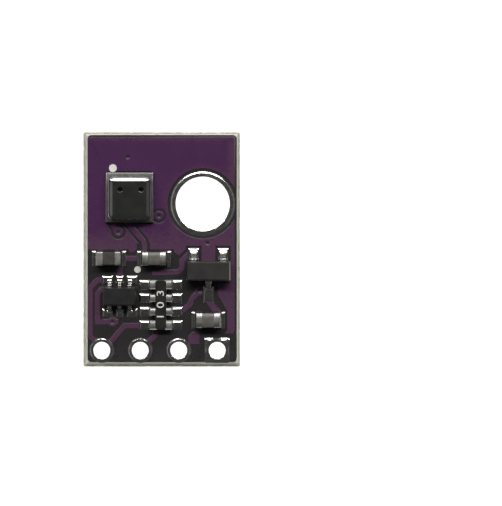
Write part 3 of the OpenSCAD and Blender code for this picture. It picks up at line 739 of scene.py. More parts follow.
@dataclass(frozen=True)
class Finish:
    """A surface of one material, with a cloudy tone and a fine grain.

    Attributes:
        slot: the record's material slot.
        dark: its colour where the tone is low.
        light: its colour where the tone is high.
        gloss: its roughness where the tone is low and where it is high.
        metallic: 1 for a bare metal.
        clouds: swells of tone in a millimetre.
        fineness: grains in a millimetre.
        relief: height of the grain in micrometres.
        sheen_level: how strongly it mirrors, 0.5 for most plastics.
        glow: share of its light that passes through it, over about half a millimetre.
    """

    slot: str
    dark: tuple
    light: tuple
    gloss: tuple = (0.4, 0.5)
    metallic: float = 0.0
    clouds: float = 1.5
    fineness: float = 20.0
    relief: float = 2.0
    sheen_level: float = 0.5
    glow: float = 0.0
    made: ClassVar[dict["Finish", bpy.types.Material]] = {}

    def material(self) -> bpy.types.Material:
        """The material, made once for each finish."""
        material = Finish.made.get(self)
        if material is None:
            material = bpy.data.materials.new(self.slot + "_finish")
            Finish.made[self] = material
            material.use_nodes = True
            shading = Shading(material.node_tree)
            surface = shading.add(
                "BsdfPrincipled",
                {"Metallic": self.metallic, "Specular IOR Level": self.sheen_level, "Subsurface Weight": self.glow,
                 "Subsurface Scale": 0.6 * MM, "Subsurface Radius": (1.0, 1.0, 0.9)},
            )
            grain = shading.group(Effects.grain(), Clouds=self.clouds, Fineness=self.fineness)
            self.paint(shading, surface, grain.outputs["Tone"], grain.outputs["Height"])
            output = shading.add("OutputMaterial")
            shading.tree.links.new(surface.outputs[0], output.inputs[0])
            material.diffuse_color = (*self.light, 1.0)
        return material

    def paint(self, shading: Shading, surface: bpy.types.Node, tone: Socket, height: Socket) -> None:
        """Links colour, roughness and bump.

        Args:
            shading: adds nodes.
            surface: the surface's shader.
            tone: the cloudy tone.
            height: the grain's height.
        """
        gloss = shading.between(tone, 0.0, 1.0, *self.gloss)
        self.link(shading, surface, shading.mix(tone, self.dark, self.light), gloss, height)

    def link(
        self, shading: Shading, surface: bpy.types.Node, colour: Socket, roughness: Socket, height: Socket
    ) -> None:
        """Links a surface's colour and roughness, and its bump as high as relief says.

        Args:
            shading: adds nodes.
            surface: the surface's shader.
            colour: its colour.
            roughness: its roughness.
            height: its height, in the grain's units.
        """
        bump = shading.add("Bump", {"Height": height, "Distance": self.relief * MM * MM, "Strength": 1.0})
        for name, socket in (("Base Color", colour), ("Roughness", roughness), ("Normal", bump.outputs[0])):
            shading.tree.links.new(socket, surface.inputs[name])


@dataclass(frozen=True)
class SolderMask(Finish):
    """Purple solder mask: lighter over copper, nearly black over bare laminate.

    Attributes:
        bare_dark: its darker colour over bare laminate.
        bare_light: its lighter colour there, towards the pin holes.
        thin: its colour where it is thin, on tracks and towards the edges of the copper area.
        mid_heights: heights halfway up the slopes at the edges of the copper, on each face.
        area_front: where the large copper area begins along Y.
        area_back: where it ends.
        area_right: where it ends along X.
        hole: place of the mounting hole.
        hole_r: radius within which the mask is thin round the hole.
        slope_z: half the height of the slope at an edge of the copper.
        front_fade: how far behind its front the area's colour takes over from thin.
        rim_fade: the same from its right and round the mounting hole.
        back_fade: the same from its back.
        bare_fade: how far before the area the bare mask is lightest, and where that ends.
    """

    bare_dark: tuple = (0.026, 0.024, 0.024)
    bare_light: tuple = (0.034, 0.030, 0.032)
    thin: tuple = (0.084, 0.038, 0.074)
    mid_heights: tuple = (0.03, 1.6)
    area_front: float = 0.0
    area_back: float = 7.4
    area_right: float = 4.8
    hole: tuple = (2.7, 3.0)
    hole_r: float = 3.0
    slope_z: float = 0.008
    front_fade: float = 2.2
    rim_fade: float = 0.9
    back_fade: float = 0.5
    bare_fade: tuple = (7.3, 5.6)

    def paint(self, shading: Shading, surface: bpy.types.Node, tone: Socket, height: Socket) -> None:
        """Links colour by what lies below the mask."""
        place = shading.place()
        x, y, z = shading.add("SeparateXYZ", {0: place}).outputs
        low, high = self.mid_heights
        raised = shading.between(z, high - self.slope_z, high + self.slope_z)
        below = shading.between(z, low - self.slope_z, low + self.slope_z, 1.0, 0.0)
        covered = shading.sum("MAXIMUM", raised, below)
        ring = shading.add("VectorMath", {0: place, 1: (*self.hole, 0)}, operation="SUBTRACT").outputs[0]
        flat = shading.add("VectorMath", {0: ring, 1: (1, 1, 0)}, operation="MULTIPLY").outputs[0]
        away = shading.add("VectorMath", {0: flat}, operation="LENGTH").outputs["Value"]
        thin = shading.between(y, self.area_front, self.area_front + self.front_fade, 1.0, 0.0)
        for edge in (
            shading.between(y, self.area_back - self.back_fade, self.area_back, 0.0, 0.8),
            shading.between(x, self.area_right - self.rim_fade, self.area_right, 0.0, 0.9),
            shading.between(away, self.hole_r - self.rim_fade, self.hole_r, 0.7, 0.0),
        ):
            thin = shading.sum("MAXIMUM", thin, edge)
        ragged = shading.sum("ADD", thin, shading.sum("MULTIPLY", shading.sum("SUBTRACT", tone, 0.5), 0.5))
        over_copper = shading.mix(shading.between(ragged, 0.15, 0.95), self.light, self.thin)
        front = shading.between(y, *(self.area_front - far for far in self.bare_fade), 1.0, 0.0)
        bare = shading.mix(shading.sum("MULTIPLY", front, tone), self.bare_dark, self.bare_light)
        dust = shading.group(Effects.specks(), Density=3.2, Size=0.11, Share=0.3).outputs[0]
        gloss = shading.between(tone, 0.0, 1.0, *self.gloss)
        self.link(
            shading, surface, shading.mix(covered, bare, over_copper),
            shading.sum("ADD", gloss, shading.sum("MULTIPLY", dust, 0.25)),
            shading.sum("ADD", height, shading.sum("MULTIPLY", dust, 1.5)),
        )


@dataclass(frozen=True)
class Scuffed(Finish):
    """A metal with fine lines across it.

    Attributes:
        angle: the way that the lines run, in radians.
        lines: lines in a millimetre.
        depth: depth of the lines, in the grain's own units.
    """

    angle: float = 0.4
    lines: float = 18.0
    depth: float = 0.6

    def paint(self, shading: Shading, surface: bpy.types.Node, tone: Socket, height: Socket) -> None:
        """Links colour, with the lines in its roughness and bump."""
        lines = shading.group(Effects.scratches(), Angle=self.angle, Fineness=self.lines).outputs[0]
        both = shading.sum("ADD", shading.sum("MULTIPLY", tone, 0.6), shading.sum("MULTIPLY", lines, 0.4))
        gloss = shading.between(both, 0.0, 1.0, *self.gloss)
        relief = shading.sum("ADD", height, shading.sum("MULTIPLY", lines, self.depth))
        self.link(shading, surface, shading.mix(both, self.dark, self.light), gloss, relief)


@dataclass(frozen=True)
class Specked(Finish):
    """A surface with small spots, such as pits, dust or glass fibres' ends.

    Attributes:
        spot: the spots' colour.
        density: cells in a millimetre that may hold a spot.
        spot_size: a spot's size, as a share of its cell.
        share: share of the cells that hold one.
        pit: height of a spot, in the grain's own units, below 0 for a pit.
    """

    spot: tuple = (0.5, 0.5, 0.5)
    density: float = 5.0
    spot_size: float = 0.2
    share: float = 0.4
    pit: float = -1.5

    def paint(self, shading: Shading, surface: bpy.types.Node, tone: Socket, height: Socket) -> None:
        """Links colour, with the spots in colour and bump."""
        mask = shading.group(
            Effects.specks(), Density=self.density, Size=self.spot_size, Share=self.share
        ).outputs[0]
        colour = shading.mix(mask, shading.mix(tone, self.dark, self.light), self.spot)
        gloss = shading.between(tone, 0.0, 1.0, *self.gloss)
        relief = shading.sum("ADD", height, shading.sum("MULTIPLY", mask, self.pit))
        self.link(shading, surface, colour, gloss, relief)


TIN = Scuffed("tin", (0.60, 0.59, 0.56), (0.80, 0.79, 0.76), (0.10, 0.20), 1.0, 3.0, 14.0, 0.5,
              angle=1.1, lines=5.0)
SOLDER = Finish("solder", (0.46, 0.455, 0.435), (0.64, 0.635, 0.61), (0.07, 0.15), 1.0, 5.0, 10.0, 0.35)
LAMINATE = Specked("laminate", (0.34, 0.34, 0.295), (0.48, 0.475, 0.415), (0.6, 0.8), 0.0, 2.0, 22.0, 9.0,
                   glow=1.0, spot=(0.70, 0.69, 0.62), density=9.0, spot_size=0.35, share=0.5, pit=1.0)
COPPER = Finish("copper", (0.55, 0.26, 0.15), (0.72, 0.40, 0.26), (0.25, 0.4), 1.0)
INK = Finish("ink", (0.66, 0.65, 0.59), (0.80, 0.79, 0.72), (0.6, 0.75), 0.0, 6.0, 30.0, 2.0, 0.2)
SUBSTRATE = Finish("substrate", (0.076, 0.073, 0.068), (0.120, 0.115, 0.106), (0.18, 0.27), 0.0, 3.0, 16.0,
                   0.4, 1.0)
LID = Specked("lid_metal", (0.29, 0.29, 0.28), (0.37, 0.37, 0.36), (0.10, 0.15), 1.0, 0.9, 20.0, 0.06,
              spot=(0.85, 0.82, 0.75), density=2.4, spot_size=0.14, share=0.4, pit=-12.0)
SILICON = Finish("silicon", (0.18, 0.2, 0.27), (0.26, 0.28, 0.36), (0.12, 0.2), 0.3)
GOLD = Finish("gold", (0.75, 0.5, 0.16), (0.9, 0.66, 0.28), (0.15, 0.25), 1.0)
DARK_CERAMIC = Finish("dark_ceramic", (0.046, 0.040, 0.037), (0.066, 0.058, 0.053), (0.42, 0.55), 0.0, 2.5,
                      28.0, 2.0, 0.2)
TAN_CERAMIC = Finish("tan_ceramic", (0.100, 0.093, 0.080), (0.132, 0.125, 0.110), (0.32, 0.42), 0.0, 2.5,
                     28.0, 1.2, 0.5)
ALUMINA = Finish("alumina", (0.30, 0.295, 0.275), (0.42, 0.41, 0.385), (0.5, 0.65), 0.0, 2.5, 30.0, 2.0, 0.3)
FILM = Finish("film", (0.02, 0.02, 0.022), (0.035, 0.035, 0.04), (0.5, 0.6), 0.0)
GLAZE = Finish("glaze", (0.016, 0.016, 0.015), (0.026, 0.026, 0.024), (0.16, 0.26), 0.0, 2.0, 16.0, 0.5, 0.4)
TERMINAL = Scuffed("terminal", (0.34, 0.335, 0.315), (0.48, 0.475, 0.445), (0.35, 0.41), 1.0, 4.0, 20.0, 0.9,
                   angle=0.2, lines=12.0)
LEAD = Scuffed("lead_metal", (0.50, 0.49, 0.47), (0.70, 0.69, 0.66), (0.22, 0.29), 1.0, 4.0, 20.0, 0.8,
               angle=1.4, lines=14.0)
MOULD = Specked("mould", (0.014, 0.0135, 0.0135), (0.023, 0.022, 0.0215), (0.45, 0.55), 0.0, 1.6, 26.0, 3.0,
                0.15, spot=(0.045, 0.042, 0.04), density=10.0, spot_size=0.2, share=0.3, pit=0.8)
GREY_MOULD = Specked("mould", (0.017, 0.0155, 0.015), (0.027, 0.0245, 0.0235), (0.42, 0.5), 0.0, 1.6, 26.0,
                     2.0, 0.35, spot=(0.055, 0.05, 0.048), density=10.0, spot_size=0.2, share=0.3, pit=0.8)


# The board


@dataclass
class Board:
    """The bare board: laminate, mask, copper, plated holes, through-board connections and printed dots.

    Attributes:
        frame: the construction.
        rim_steps: faces along each side of the broken rim, before they are halved.
        ragged: how far the broken web falls back at its deepest.
        fibre: how far the scored slopes wander.
        slope: half the width of the mask's slope at a copper edge.
        dimple_r: radius of the dimple where the mask sags into a through-board connection.
        dimple_steps: how far in and how deep each step of a dimple goes.
        dome: shape of a tinned ring, as shares of its width from the bore and of its height.
        plain_w: width of the ring for which that shape is right; a wider ring falls further.
        foot: how far its edge runs out over the laminate.
        ramp: slope of the square pad towards its far side.
        ramp_w: how far in that slope reaches.
        lip: how far the web stands out from the scored slopes.
        web: half the web's thickness.
        plating_t: thickness of a hole's plating.
        skin: thickness of the patch that closes a through-board connection.
    """

    frame: Frame
    rim_steps: int = 100
    ragged: float = 0.08
    fibre: float = 0.012
    slope: float = 0.032
    dimple_r: float = 0.19
    dimple_steps: tuple = ((0.03, 0.003), (0.03, 0.009), (0.035, 0.014), (0.035, 0.011), (0.03, 0.004))
    dome: tuple = ((0.0, 0.2), (0.01, 0.55), (0.05, 0.8), (0.14, 0.95), (0.3, 1.0), (0.48, 0.985),
                   (0.6, 0.95), (0.7, 0.89), (0.8, 0.8), (0.9, 0.68), (1.0, 0.57))
    plain_w: float = 0.23
    foot: float = 0.05
    ramp: float = 0.27
    ramp_w: float = 0.2
    lip: float = 0.11
    web: float = 0.25
    plating_t: float = 0.03
    skin: float = 0.02
    laminate: Box = field(init=False)
    copper_t: float = field(init=False)

    def __post_init__(self) -> None:
        """Reads the layers' heights."""
        self.laminate = self.frame.box("board_laminate")
        self.copper_t = self.frame.box("top_copper").size.z

    def build(self) -> None:
        """Makes every piece of the bare board."""
        self.broken_laminate()
        mask = self.mask_finish()
        for node, side in (("top_solder_mask", Side.PARTS), ("bottom_solder_mask", Side.HIDDEN)):
            settle(self.mask(node, side), node + "_relief", mask, [node])
        for node in ("mounting_hole_plating", *(f"pin_hole_plating_{i}" for i in range(1, 5))):
            settle(self.plated_hole(node), node + "_domed", TIN, [node])
        dots = rounded(self.frame, "marking_dots", 0.012, 2)
        smooth(dots)
        settle(dots, "printed_dots", INK, ["marking_dots"])
        dress(self.frame, ["top_copper", "bottom_copper", "via_barrels"], COPPER)

    def mask_finish(self) -> SolderMask:
        """The solder mask, with its tones placed by the copper area and the mounting hole."""
        top = self.frame.box("top_solder_mask")
        bottom = self.frame.box("bottom_solder_mask")
        copper = self.frame.box("top_copper")
        hole = self.frame.box("mounting_hole_plating").centre
        return SolderMask(
            "solder_mask", (0.060, 0.020, 0.065), (0.066, 0.022, 0.072), (0.26, 0.33), 0.0, 0.9, 7.0, 0.6,
            0.2,
            mid_heights=(bottom.low.z + self.copper_t / 2, top.high.z - self.copper_t / 2),
            area_back=copper.high.y, area_right=copper.high.x, hole=(hole.x, hole.y),
        )

    def broken_laminate(self) -> None:
        """The laminate: a plate with scored slopes and a broken web all round, drilled for the plated holes."""
        whole = self.laminate
        mask = self.frame.box("top_solder_mask")
        middle = whole.centre.z
        piece = block(
            Box(Vector((*mask.low.xy, whole.low.z)), Vector((*mask.high.xy, whole.high.z)))
        )

        def widen(place: Vector) -> Vector:
            """Brings a vertex of the web out to the lip's foot."""
            if abs(place.z - middle) < self.web + 0.05:
                for i in (0, 1):
                    place[i] = whole.low[i] + self.lip if place[i] < 0 else whole.high[i] - self.lip
            return place

        with editing(piece):
            for height in (middle - self.web, middle + self.web):
                bpy.ops.mesh.select_all(action="SELECT")
                bpy.ops.mesh.bisect(plane_co=(0, 0, height), plane_no=UP, threshold=0.0001)
        reshape(piece, widen)
        with editing(piece):
            pick_faces(piece, lambda c, n: abs(n.z) < 0.2 and abs(c.z - middle) < 0.1)
            bpy.ops.mesh.extrude_region_shrink_fatten(
                MESH_OT_extrude_region={},
                TRANSFORM_OT_shrink_fatten={"value": self.lip, "use_even_offset": True},
            )
            pick_faces(piece, lambda c, n: abs(n.z) > 0.99 and abs(c.z - middle) > 0.7)
            bpy.ops.mesh.delete(type="ONLY_FACE")
            for axis in (0, 1):
                for cuts in (self.rim_steps, 1):
                    pick_edges(piece, lambda a, b, angle: abs(a[1 - axis] - b[1 - axis]) < 1e-4
                               and abs(a.z - b.z) < 1e-4)
                    bpy.ops.mesh.subdivide(number_cuts=cuts)
            for cuts in (2, 1):
                pick_edges(piece, lambda a, b, angle: abs(a.z - b.z) > 0.1)
                bpy.ops.mesh.subdivide(number_cuts=cuts)
        reshape(piece, self.break_edge)
        with editing(piece, Kind.EDGE):
            for top in (whole.low.z, whole.high.z):
                pick_edges(piece, lambda a, b, angle: abs(a.z - top) < 1e-4 and abs(b.z - top) < 1e-4)
                bpy.ops.mesh.edge_face_add()
            bpy.ops.mesh.select_all(action="SELECT")
            bpy.ops.mesh.normals_make_consistent(inside=False)
        self.drill(piece)
        smooth(piece, 40, weighted=False)
        settle(piece, "snapped_laminate", LAMINATE, ["board_laminate"])

    def break_edge(self, place: Vector) -> Vector:
        """Where a vertex of the rim lies after the board was scored and snapped.

        Args:
            place: its place on the clean rim.

        Returns:
            Its place on the broken one.
        """
        whole = self.laminate
        if min(place.z - whole.low.z, whole.high.z - place.z) < 1e-3:
            return place
        out = Vector((0.0, 0.0))
        for i in (0, 1):
            reach = (place[i] - whole.centre[i]) / (whole.size[i] / 2)
            if abs(reach) > 0.94:
                out[i] = math.copysign(1.0, reach)
        on_web = any(abs(place[i] - whole.centre[i]) > whole.size[i] / 2 - 0.03 for i in (0, 1))
        fine = wander(place, 9.0, 1.0) + 0.6 * wander(place, 21.0, 2.0)
        if on_web:
            swell = 0.5 + 0.5 * wander(place, 1.7, 3.0)
            bite = max(0.0, wander(place, 3.1, 4.0)) ** 1.5
            depth = self.ragged * min(1.0, max(0.0, 0.05 * swell + 1.1 * bite + 0.06 * fine))
            place.z += 0.03 * wander(place, 5.0, 5.0)
        else:
            depth = self.fibre * (0.6 + fine)
        for i in (0, 1):
            place[i] -= out[i] * max(depth, 0.0)
        return place

    def drill(self, piece: bpy.types.Object) -> None:
        """Cuts the laminate's holes, each as wide as the plating that lines it.

        Args:
            piece: the laminate.
        """
        bores = [(b.centre, b.size.x / 2) for b in self.frame.solids("via_barrels")]
        hole = self.frame.mount("mounting_hole")["dims"]["r_mm"] + self.plating_t
        bores.append((self.frame.box("mounting_hole_plating").centre, hole))
        pin = self.frame.mount("outer_pin_holes")["dims"]["hole_r_mm"] + self.plating_t
        bores += [(self.frame.box(f"pin_hole_plating_{i}").centre, pin) for i in range(1, 5)]
        for at, radius in bores:
            cut(piece, cylinder(Vector((at.x, at.y, self.laminate.centre.z)), radius, 3, 64))

    def mask(self, node: str, side: Side) -> bpy.types.Object:
        """A face's solder mask, with soft slopes at the copper's edges and a dimple over each connection.

        Args:
            node: the mask's node.
            side: the face of the board that it covers.

        Returns:
            The piece.
        """
        box = self.frame.box(node)
        high = box.high.z if side is Side.PARTS else box.low.z
        low = high - side.value * self.copper_t
        piece = self.frame.copy(node)
        with editing(piece):
            for level in (high, low):
                picked = pick_faces(piece, lambda c, n: abs(c.z - level) < 0.002 and n.z * side.value > 0.9)
                log.info("%s: %d faces at %.3f", node, picked, level)
                bpy.ops.mesh.inset(thickness=self.slope, depth=0, use_boundary=True, use_even_offset=True)
        self.soften_steps(piece, low, high)
        piece = join([piece, *self.dimples(piece, high, side)])
        smooth(piece)
        return piece

    def soften_steps(self, piece: bpy.types.Object, low: float, high: float) -> None:
        """Brings both ends of each step at a copper edge to the height between them, which leaves a slope.

        Args:
            piece: the mask, whose faces have been inset at both levels.
            low: height of the mask on bare laminate.
            high: its height over copper.
        """
        levels: dict[tuple, set] = {}
        for vertex in piece.data.vertices:
            key = (round(vertex.co.x, 3), round(vertex.co.y, 3))
            for name, level in (("low", low), ("high", high)):
                if abs(vertex.co.z - level) < 0.002:
                    levels.setdefault(key, set()).add(name)
        middle = (low + high) / 2

        def move(place: Vector) -> Vector:
            """Where a vertex goes: to the middle, if both levels have one here."""
            key = (round(place.x, 3), round(place.y, 3))
            on_level = min(abs(place.z - low), abs(place.z - high)) < 0.002
            if on_level and len(levels.get(key, ())) == 2:
                place.z = middle
            return place

        reshape(piece, move)
        with editing(piece, Kind.VERTEX):
            bpy.ops.mesh.select_all(action="SELECT")
            bpy.ops.mesh.remove_doubles(threshold=MERGE)

    def dimples(self, piece: bpy.types.Object, high: float, side: Side) -> list[bpy.types.Object]:
        """Cuts the mask round each through-board connection and makes the dimpled patches that close it.

        Args:
            piece: the mask.
            high: its height over copper.
            side: the face of the board that it covers.

        Returns:
            The patches.
        """
        patches = []
        for at in (b.centre for b in self.frame.solids("via_barrels")):
            cut(piece, cylinder(Vector((at.x, at.y, high)), self.dimple_r, 0.3, 40))
            middle = Vector((at.x, at.y, high - side.value * self.skin / 2))
            cylinder(middle, self.dimple_r, self.skin, 40)
            patch = applied()
            with editing(patch):
                for way in (1, -1):
                    pick_faces(patch, lambda c, n: n.z * way > 0.9)
                    for inwards, down in self.dimple_steps:
                        bpy.ops.mesh.inset(thickness=inwards, depth=-down * way * side.value)
            patches.append(patch)
        return patches

    def plated_hole(self, node: str) -> bpy.types.Object:
        """A plated hole with a domed, slightly uneven tinned ring on each face.

        Args:
            node: the hole's node.

        Returns:
            The piece.
        """
        box = self.frame.box(node)
        at = box.centre
        large = node.startswith("mounting")
        mount = self.frame.mount("mounting_hole" if large else "outer_pin_holes")["dims"]
        bore = mount["r_mm"] if large else mount["hole_r_mm"]
        outer = box.size.x / 2
        face = self.laminate.high.z
        rise = box.high.z - face
        wider = min(1.5, (outer - bore) / self.plain_w)
        shape = [(share, 1 - (1 - height) * (wider if share > 0.3 else 1)) for share, height in self.dome]
        top = [(bore + share * (outer - bore), face + height * rise) for share, height in shape]
        top += [(outer + self.foot, face + (shape[-1][1] - 0.02) * rise), (outer + self.foot + 0.002, face)]
        middle = self.laminate.centre.z
        half = [(bore, middle + 0.3), *top, (bore + self.plating_t, face)]
        mirrored = [(r, 2 * middle - z) for r, z in reversed(half)]
        piece = turned([*half, *mirrored], at, 128 if large else 72)
        square = abs(self.corner_reach(node) - outer) > 0.1
        swell = 0.05 * (outer - bore) + 0.004

        def uneven(place: Vector) -> Vector:
            """Wobbles the ring, and draws it out to a square where the pad is one."""
            flat = Vector((place.x - at.x, place.y - at.y, 0))
            radius = flat.length
            share = (radius - bore) / (outer - bore)
            if share > 0.02:
                if square:
                    reach = 1 / max(abs(flat.x / radius), abs(flat.y / radius))
                    flat *= 1 + (min(reach, 1.37) - 1) * min(1.0, share) ** 1.5
                pull = swell * wander(place, 1.3 if large else 2.2, at.x) * min(1.0, 3 * share) * (1 - share)
                flat *= 1 + pull / radius
            elif abs(place.z - middle) > 0.5:
                flat *= 1 + 0.012 * max(0.0, wander(place, 5.0, at.x) - 0.15)
            height = place.z - middle
            deck = self.laminate.size.z / 2
            if share > 0.02 and abs(height) > deck + 0.2 * rise:
                sag = 0.007 * (1 + wander(place, 3.0, at.x + 2)) * (1 - abs(2 * share - 1))
                height -= math.copysign(sag, height)
            if square and share > 0.02:
                ramp = self.ramp * min(1.0, 0.35 + 1.7 * abs(flat.x + 0.05))
                level = deck + max(0.003, rise - ramp * max(0.0, flat.y + self.ramp_w - outer))
                height = math.copysign(min(abs(height), level), height)
            return Vector((at.x + flat.x, at.y + flat.y, middle + height))

        reshape(piece, uneven)
        smooth(piece, 60, weighted=False)
        return piece

    def corner_reach(self, node: str) -> float:
        """How far a ring reaches from its middle: its radius, or more for a square pad."""
        at = self.frame.box(node).centre
        mesh = self.frame.loaded["nodes"][node].data
        return max(math.hypot(v.co.x / MM - at.x, v.co.y / MM - at.y) for v in mesh.vertices)


# Solder


@dataclass
class Pillow:
    """Solder on one pad: a low dome that climbs whatever stands on it.

    Attributes:
        bed: the pad's bed of solder in the construction.
        feet: boxes of what stands on it.
        rise: how high it climbs.
        run: how far from a foot it starts to climb.
        dome: height of the dome over the bed.
        edges: how far the dome's slopes run in from its left and right, and from its front and back.
        spread: how far it covers the laminate round its pad.
        skirt: how far its edge reaches down, past the copper.
        steps: faces along each side.
        seed: sets its unevenness apart.
    """

    bed: Box
    feet: Sequence[Box]
    rise: float
    run: float
    dome: float = 0.065
    edges: tuple[float, float] = (0.14, 0.24)
    spread: float = 0.053
    skirt: float = 0.03
    steps: int = 28
    seed: float = 0.0

    def height(self, place: Vector) -> float:
        """The solder's height above the bed's foot at a place.

        Args:
            place: the place, seen from above.

        Returns:
            The height in millimetres.
        """
        far = 0.0
        for i in (0, 1):
            inside = self.bed.size[i] / 2 + self.spread - abs(place[i] - self.bed.centre[i])
            far += (self.edges[i] / max(inside, 1e-4)) ** 3
        window = math.sin(math.pi / 2 * min(1.0, far ** (-1 / 3)))
        uneven = 1 + 0.08 * wander(place, 1.6, self.seed)
        climb = 0.0
        for foot in self.feet:
            near = max(0.0, 1 - foot.gap(place) / self.run)
            climb = max(climb, (self.rise - self.dome) * near**2.2)
        return window * self.dome * uneven + window**0.5 * climb

    def build(self) -> bpy.types.Object:
        """The solder of this pad.

        Returns:
            A closed piece.
        """
        middle = self.bed.centre
        low = self.bed.low.z
        size = self.bed.size + Vector((2, 2, 0)) * self.spread
        bpy.ops.mesh.primitive_grid_add(
            x_subdivisions=self.steps, y_subdivisions=self.steps, size=1, location=(middle.x, middle.y, low)
        )
        piece = bpy.context.object
        piece.scale = (size.x, size.y, 1)
        applied()

        def lift(place: Vector) -> Vector:
            """Lifts a vertex to the solder's surface, with the pad's corners drawn in."""
            u, v = (2 * (place[i] - middle[i]) / size[i] for i in (0, 1))
            height = self.height(place)
            pull = 0.03 * (abs(u) * abs(v)) ** 4
            return Vector((place.x - u * pull * size.x / 2, place.y - v * pull * size.y / 2, low + height))

        reshape(piece, lift)
        with editing(piece, Kind.EDGE):
            bpy.ops.mesh.select_all(action="SELECT")
            bpy.ops.mesh.region_to_loop()
            bpy.ops.mesh.extrude_region()
            bpy.ops.transform.resize(value=(1, 1, 0), center_override=(middle.x, middle.y, low - self.skirt))
            bpy.ops.mesh.edge_face_add()
            bpy.ops.mesh.select_all(action="SELECT")
            bpy.ops.mesh.normals_make_consistent(inside=False)
        return piece


def beds(frame: Frame, node: str) -> list[Box]:
    """The flat beds of a solder node, one for each pad.

    Args:
        frame: the construction.
        node: the solder's node.

    Returns:
        The beds' boxes.
    """
    solids = frame.solids(node)
    floor = min(b.low.z for b in solids)
    return [b for b in solids if b.low.z < floor + 0.01]


def solder(frame: Frame, node: str, feet: Sequence[Box], rise: float, run: float, **shape: object) -> None:
    """Makes all the solder of one part.

    Args:
        frame: the construction.
        node: the solder's node.
        feet: what stands on its pads.
        rise: how high the solder climbs.
        run: how far from a foot it starts to climb.
        shape: other fields of the pillows.
    """
    pillows = []
    for i, bed in enumerate(beds(frame, node)):
        near = [foot for foot in feet if bed.gap(foot.centre) < max(foot.size.x, foot.size.y)]
        pillows.append(Pillow(bed, near, rise, run, seed=i + 0.5, **shape).build())
    piece = join(pillows)
    smooth(piece, 70, weighted=False)
    settle(piece, node + "_pillows", SOLDER, [node])


# Parts


@dataclass
class Sensor:
    """The sensor: a base on soldered pads, a drawn lid with two vents, and the dies below it.

    Attributes:
        frame: the construction.
        lid_steps: how far in and how far up each step of the lid's shoulder goes, from its side to its top.
        hollow_steps: the same for the hollow below the lid.
        lid_r: radius of the lid's upright corners.
        base_steps: the same for the base, whose rim slopes down from the lid to its edge.
        wall: the lid's wall.
        vents: places of the vents from the lid's middle across, and from its far edge.
        dish: how the lid is drawn in round a vent, as radius and height over its top.
    """

    frame: Frame
    lid_steps: tuple = ((0.01, 0.07), (0.018, 0.045), (0.022, 0.028), (0.035, 0.026), (0.05, 0.025),
                        (0.065, 0.023), (0.075, 0.019), (0.045, 0.008), (0.02, 0.002))
    hollow_steps: tuple = ((0.02, 0.09), (0.06, 0.07), (0.1, 0.04))
    lid_r: float = 0.36
    base_steps: tuple = ((0.008, 0.02), (0.016, 0.016), (0.024, 0.014), (0.03, 0.011), (0.06, 0.018),
                         (0.1, 0.027), (0.03, 0.002))
    wall: float = 0.09
    vents: tuple = ((-0.61, 0.86), (0.77, 0.86))
    dish: tuple = ((0.165, -0.2), (0.165, -0.022), (0.174, -0.009), (0.188, -0.001), (0.2, 0.003))

    def build(self) -> None:
        """Makes every piece of the sensor."""
        settle(self.lid(), "drawn_lid", LID, ["sensor_lid"])
        base = shouldered(self.frame.box("sensor_base"), 0, self.base_steps)
        smooth(base, 40, weighted=False)
        settle(base, "sensor_base_edged", SUBSTRATE, ["sensor_base"])
        dress(self.frame, ["sensor_element", "sensor_readout_chip"], SILICON)
        dress(self.frame, ["sensor_bond_wires"], GOLD)
        dress(self.frame, ["sensor_solder"], SOLDER)

    def lid(self) -> bpy.types.Object:
        """The lid: a block with drawn shoulders, hollowed from below and pierced by the vents."""
        box = self.frame.box("sensor_lid")
        piece = shouldered(box, self.lid_r, self.lid_steps)
        inside = Vector((self.wall, self.wall, self.wall))
        room = Box(box.low + inside - UP * 0.3, box.high - inside)
        cutters = [shouldered(room, self.lid_r - self.wall, self.hollow_steps)]
        profile = [(0.001, self.dish[0][1]), *self.dish, (0.001, self.dish[-1][1])]
        for across, back in self.vents:
            cutter = turned(profile, Vector((box.centre.x + across, box.high.y - back, 0)), 48)
            cutter.data.transform(Matrix.Translation((0, 0, box.high.z)))
            cutters.append(cutter)
        for cutter in cutters:
            cut(piece, cutter)
        smooth(piece, 40)
        return piece


@dataclass
class ChipCapacitor:
    """A chip capacitor: a ceramic body with a metal cap on each end, soldered to two pads.

    Attributes:
        frame: the construction.
        number: which one it is.
        ceramic: its body's finish.
        drop: how far its top falls from its middle to its front and back.
        cap_r: radius of the caps' outer edges.
        body_r: radius of the body's edges.
    """

    frame: Frame
    number: int
    ceramic: Finish
    drop: float = 0.08
    cap_r: float = 0.07
    body_r: float = 0.06

    def build(self) -> None:
        """Makes the body, the caps and the solder."""
        stem = f"capacitor_{self.number}"
        body = rounded(self.frame, stem + "_body", self.body_r, 4)
        crown(body, [self.frame.box(stem + "_body")], self.drop)
        smooth(body)
        settle(body, stem + "_ceramic", self.ceramic, [stem + "_body"])
        caps = []
        for side, name in ((-1, "left"), (1, "right")):
            node = f"{stem}_{name}_cap"
            box = self.frame.box(node)
            open_x = box.high.x if side < 0 else box.low.x
            outer = on_box_edges([box], lambda p, b: abs(p.x - open_x) < 0.01)
            cap = rounded(self.frame, node, self.cap_r, 4, outer)
            crown(cap, [box], self.drop)
            smooth(cap)
            settle(cap, f"{stem}_{name}_end", TERMINAL, [node])
            caps.append(box)
        solder(self.frame, stem + "_solder", caps, 0.3 * caps[0].size.z, 0.12, dome=0.045, edges=(0.08, 0.16))


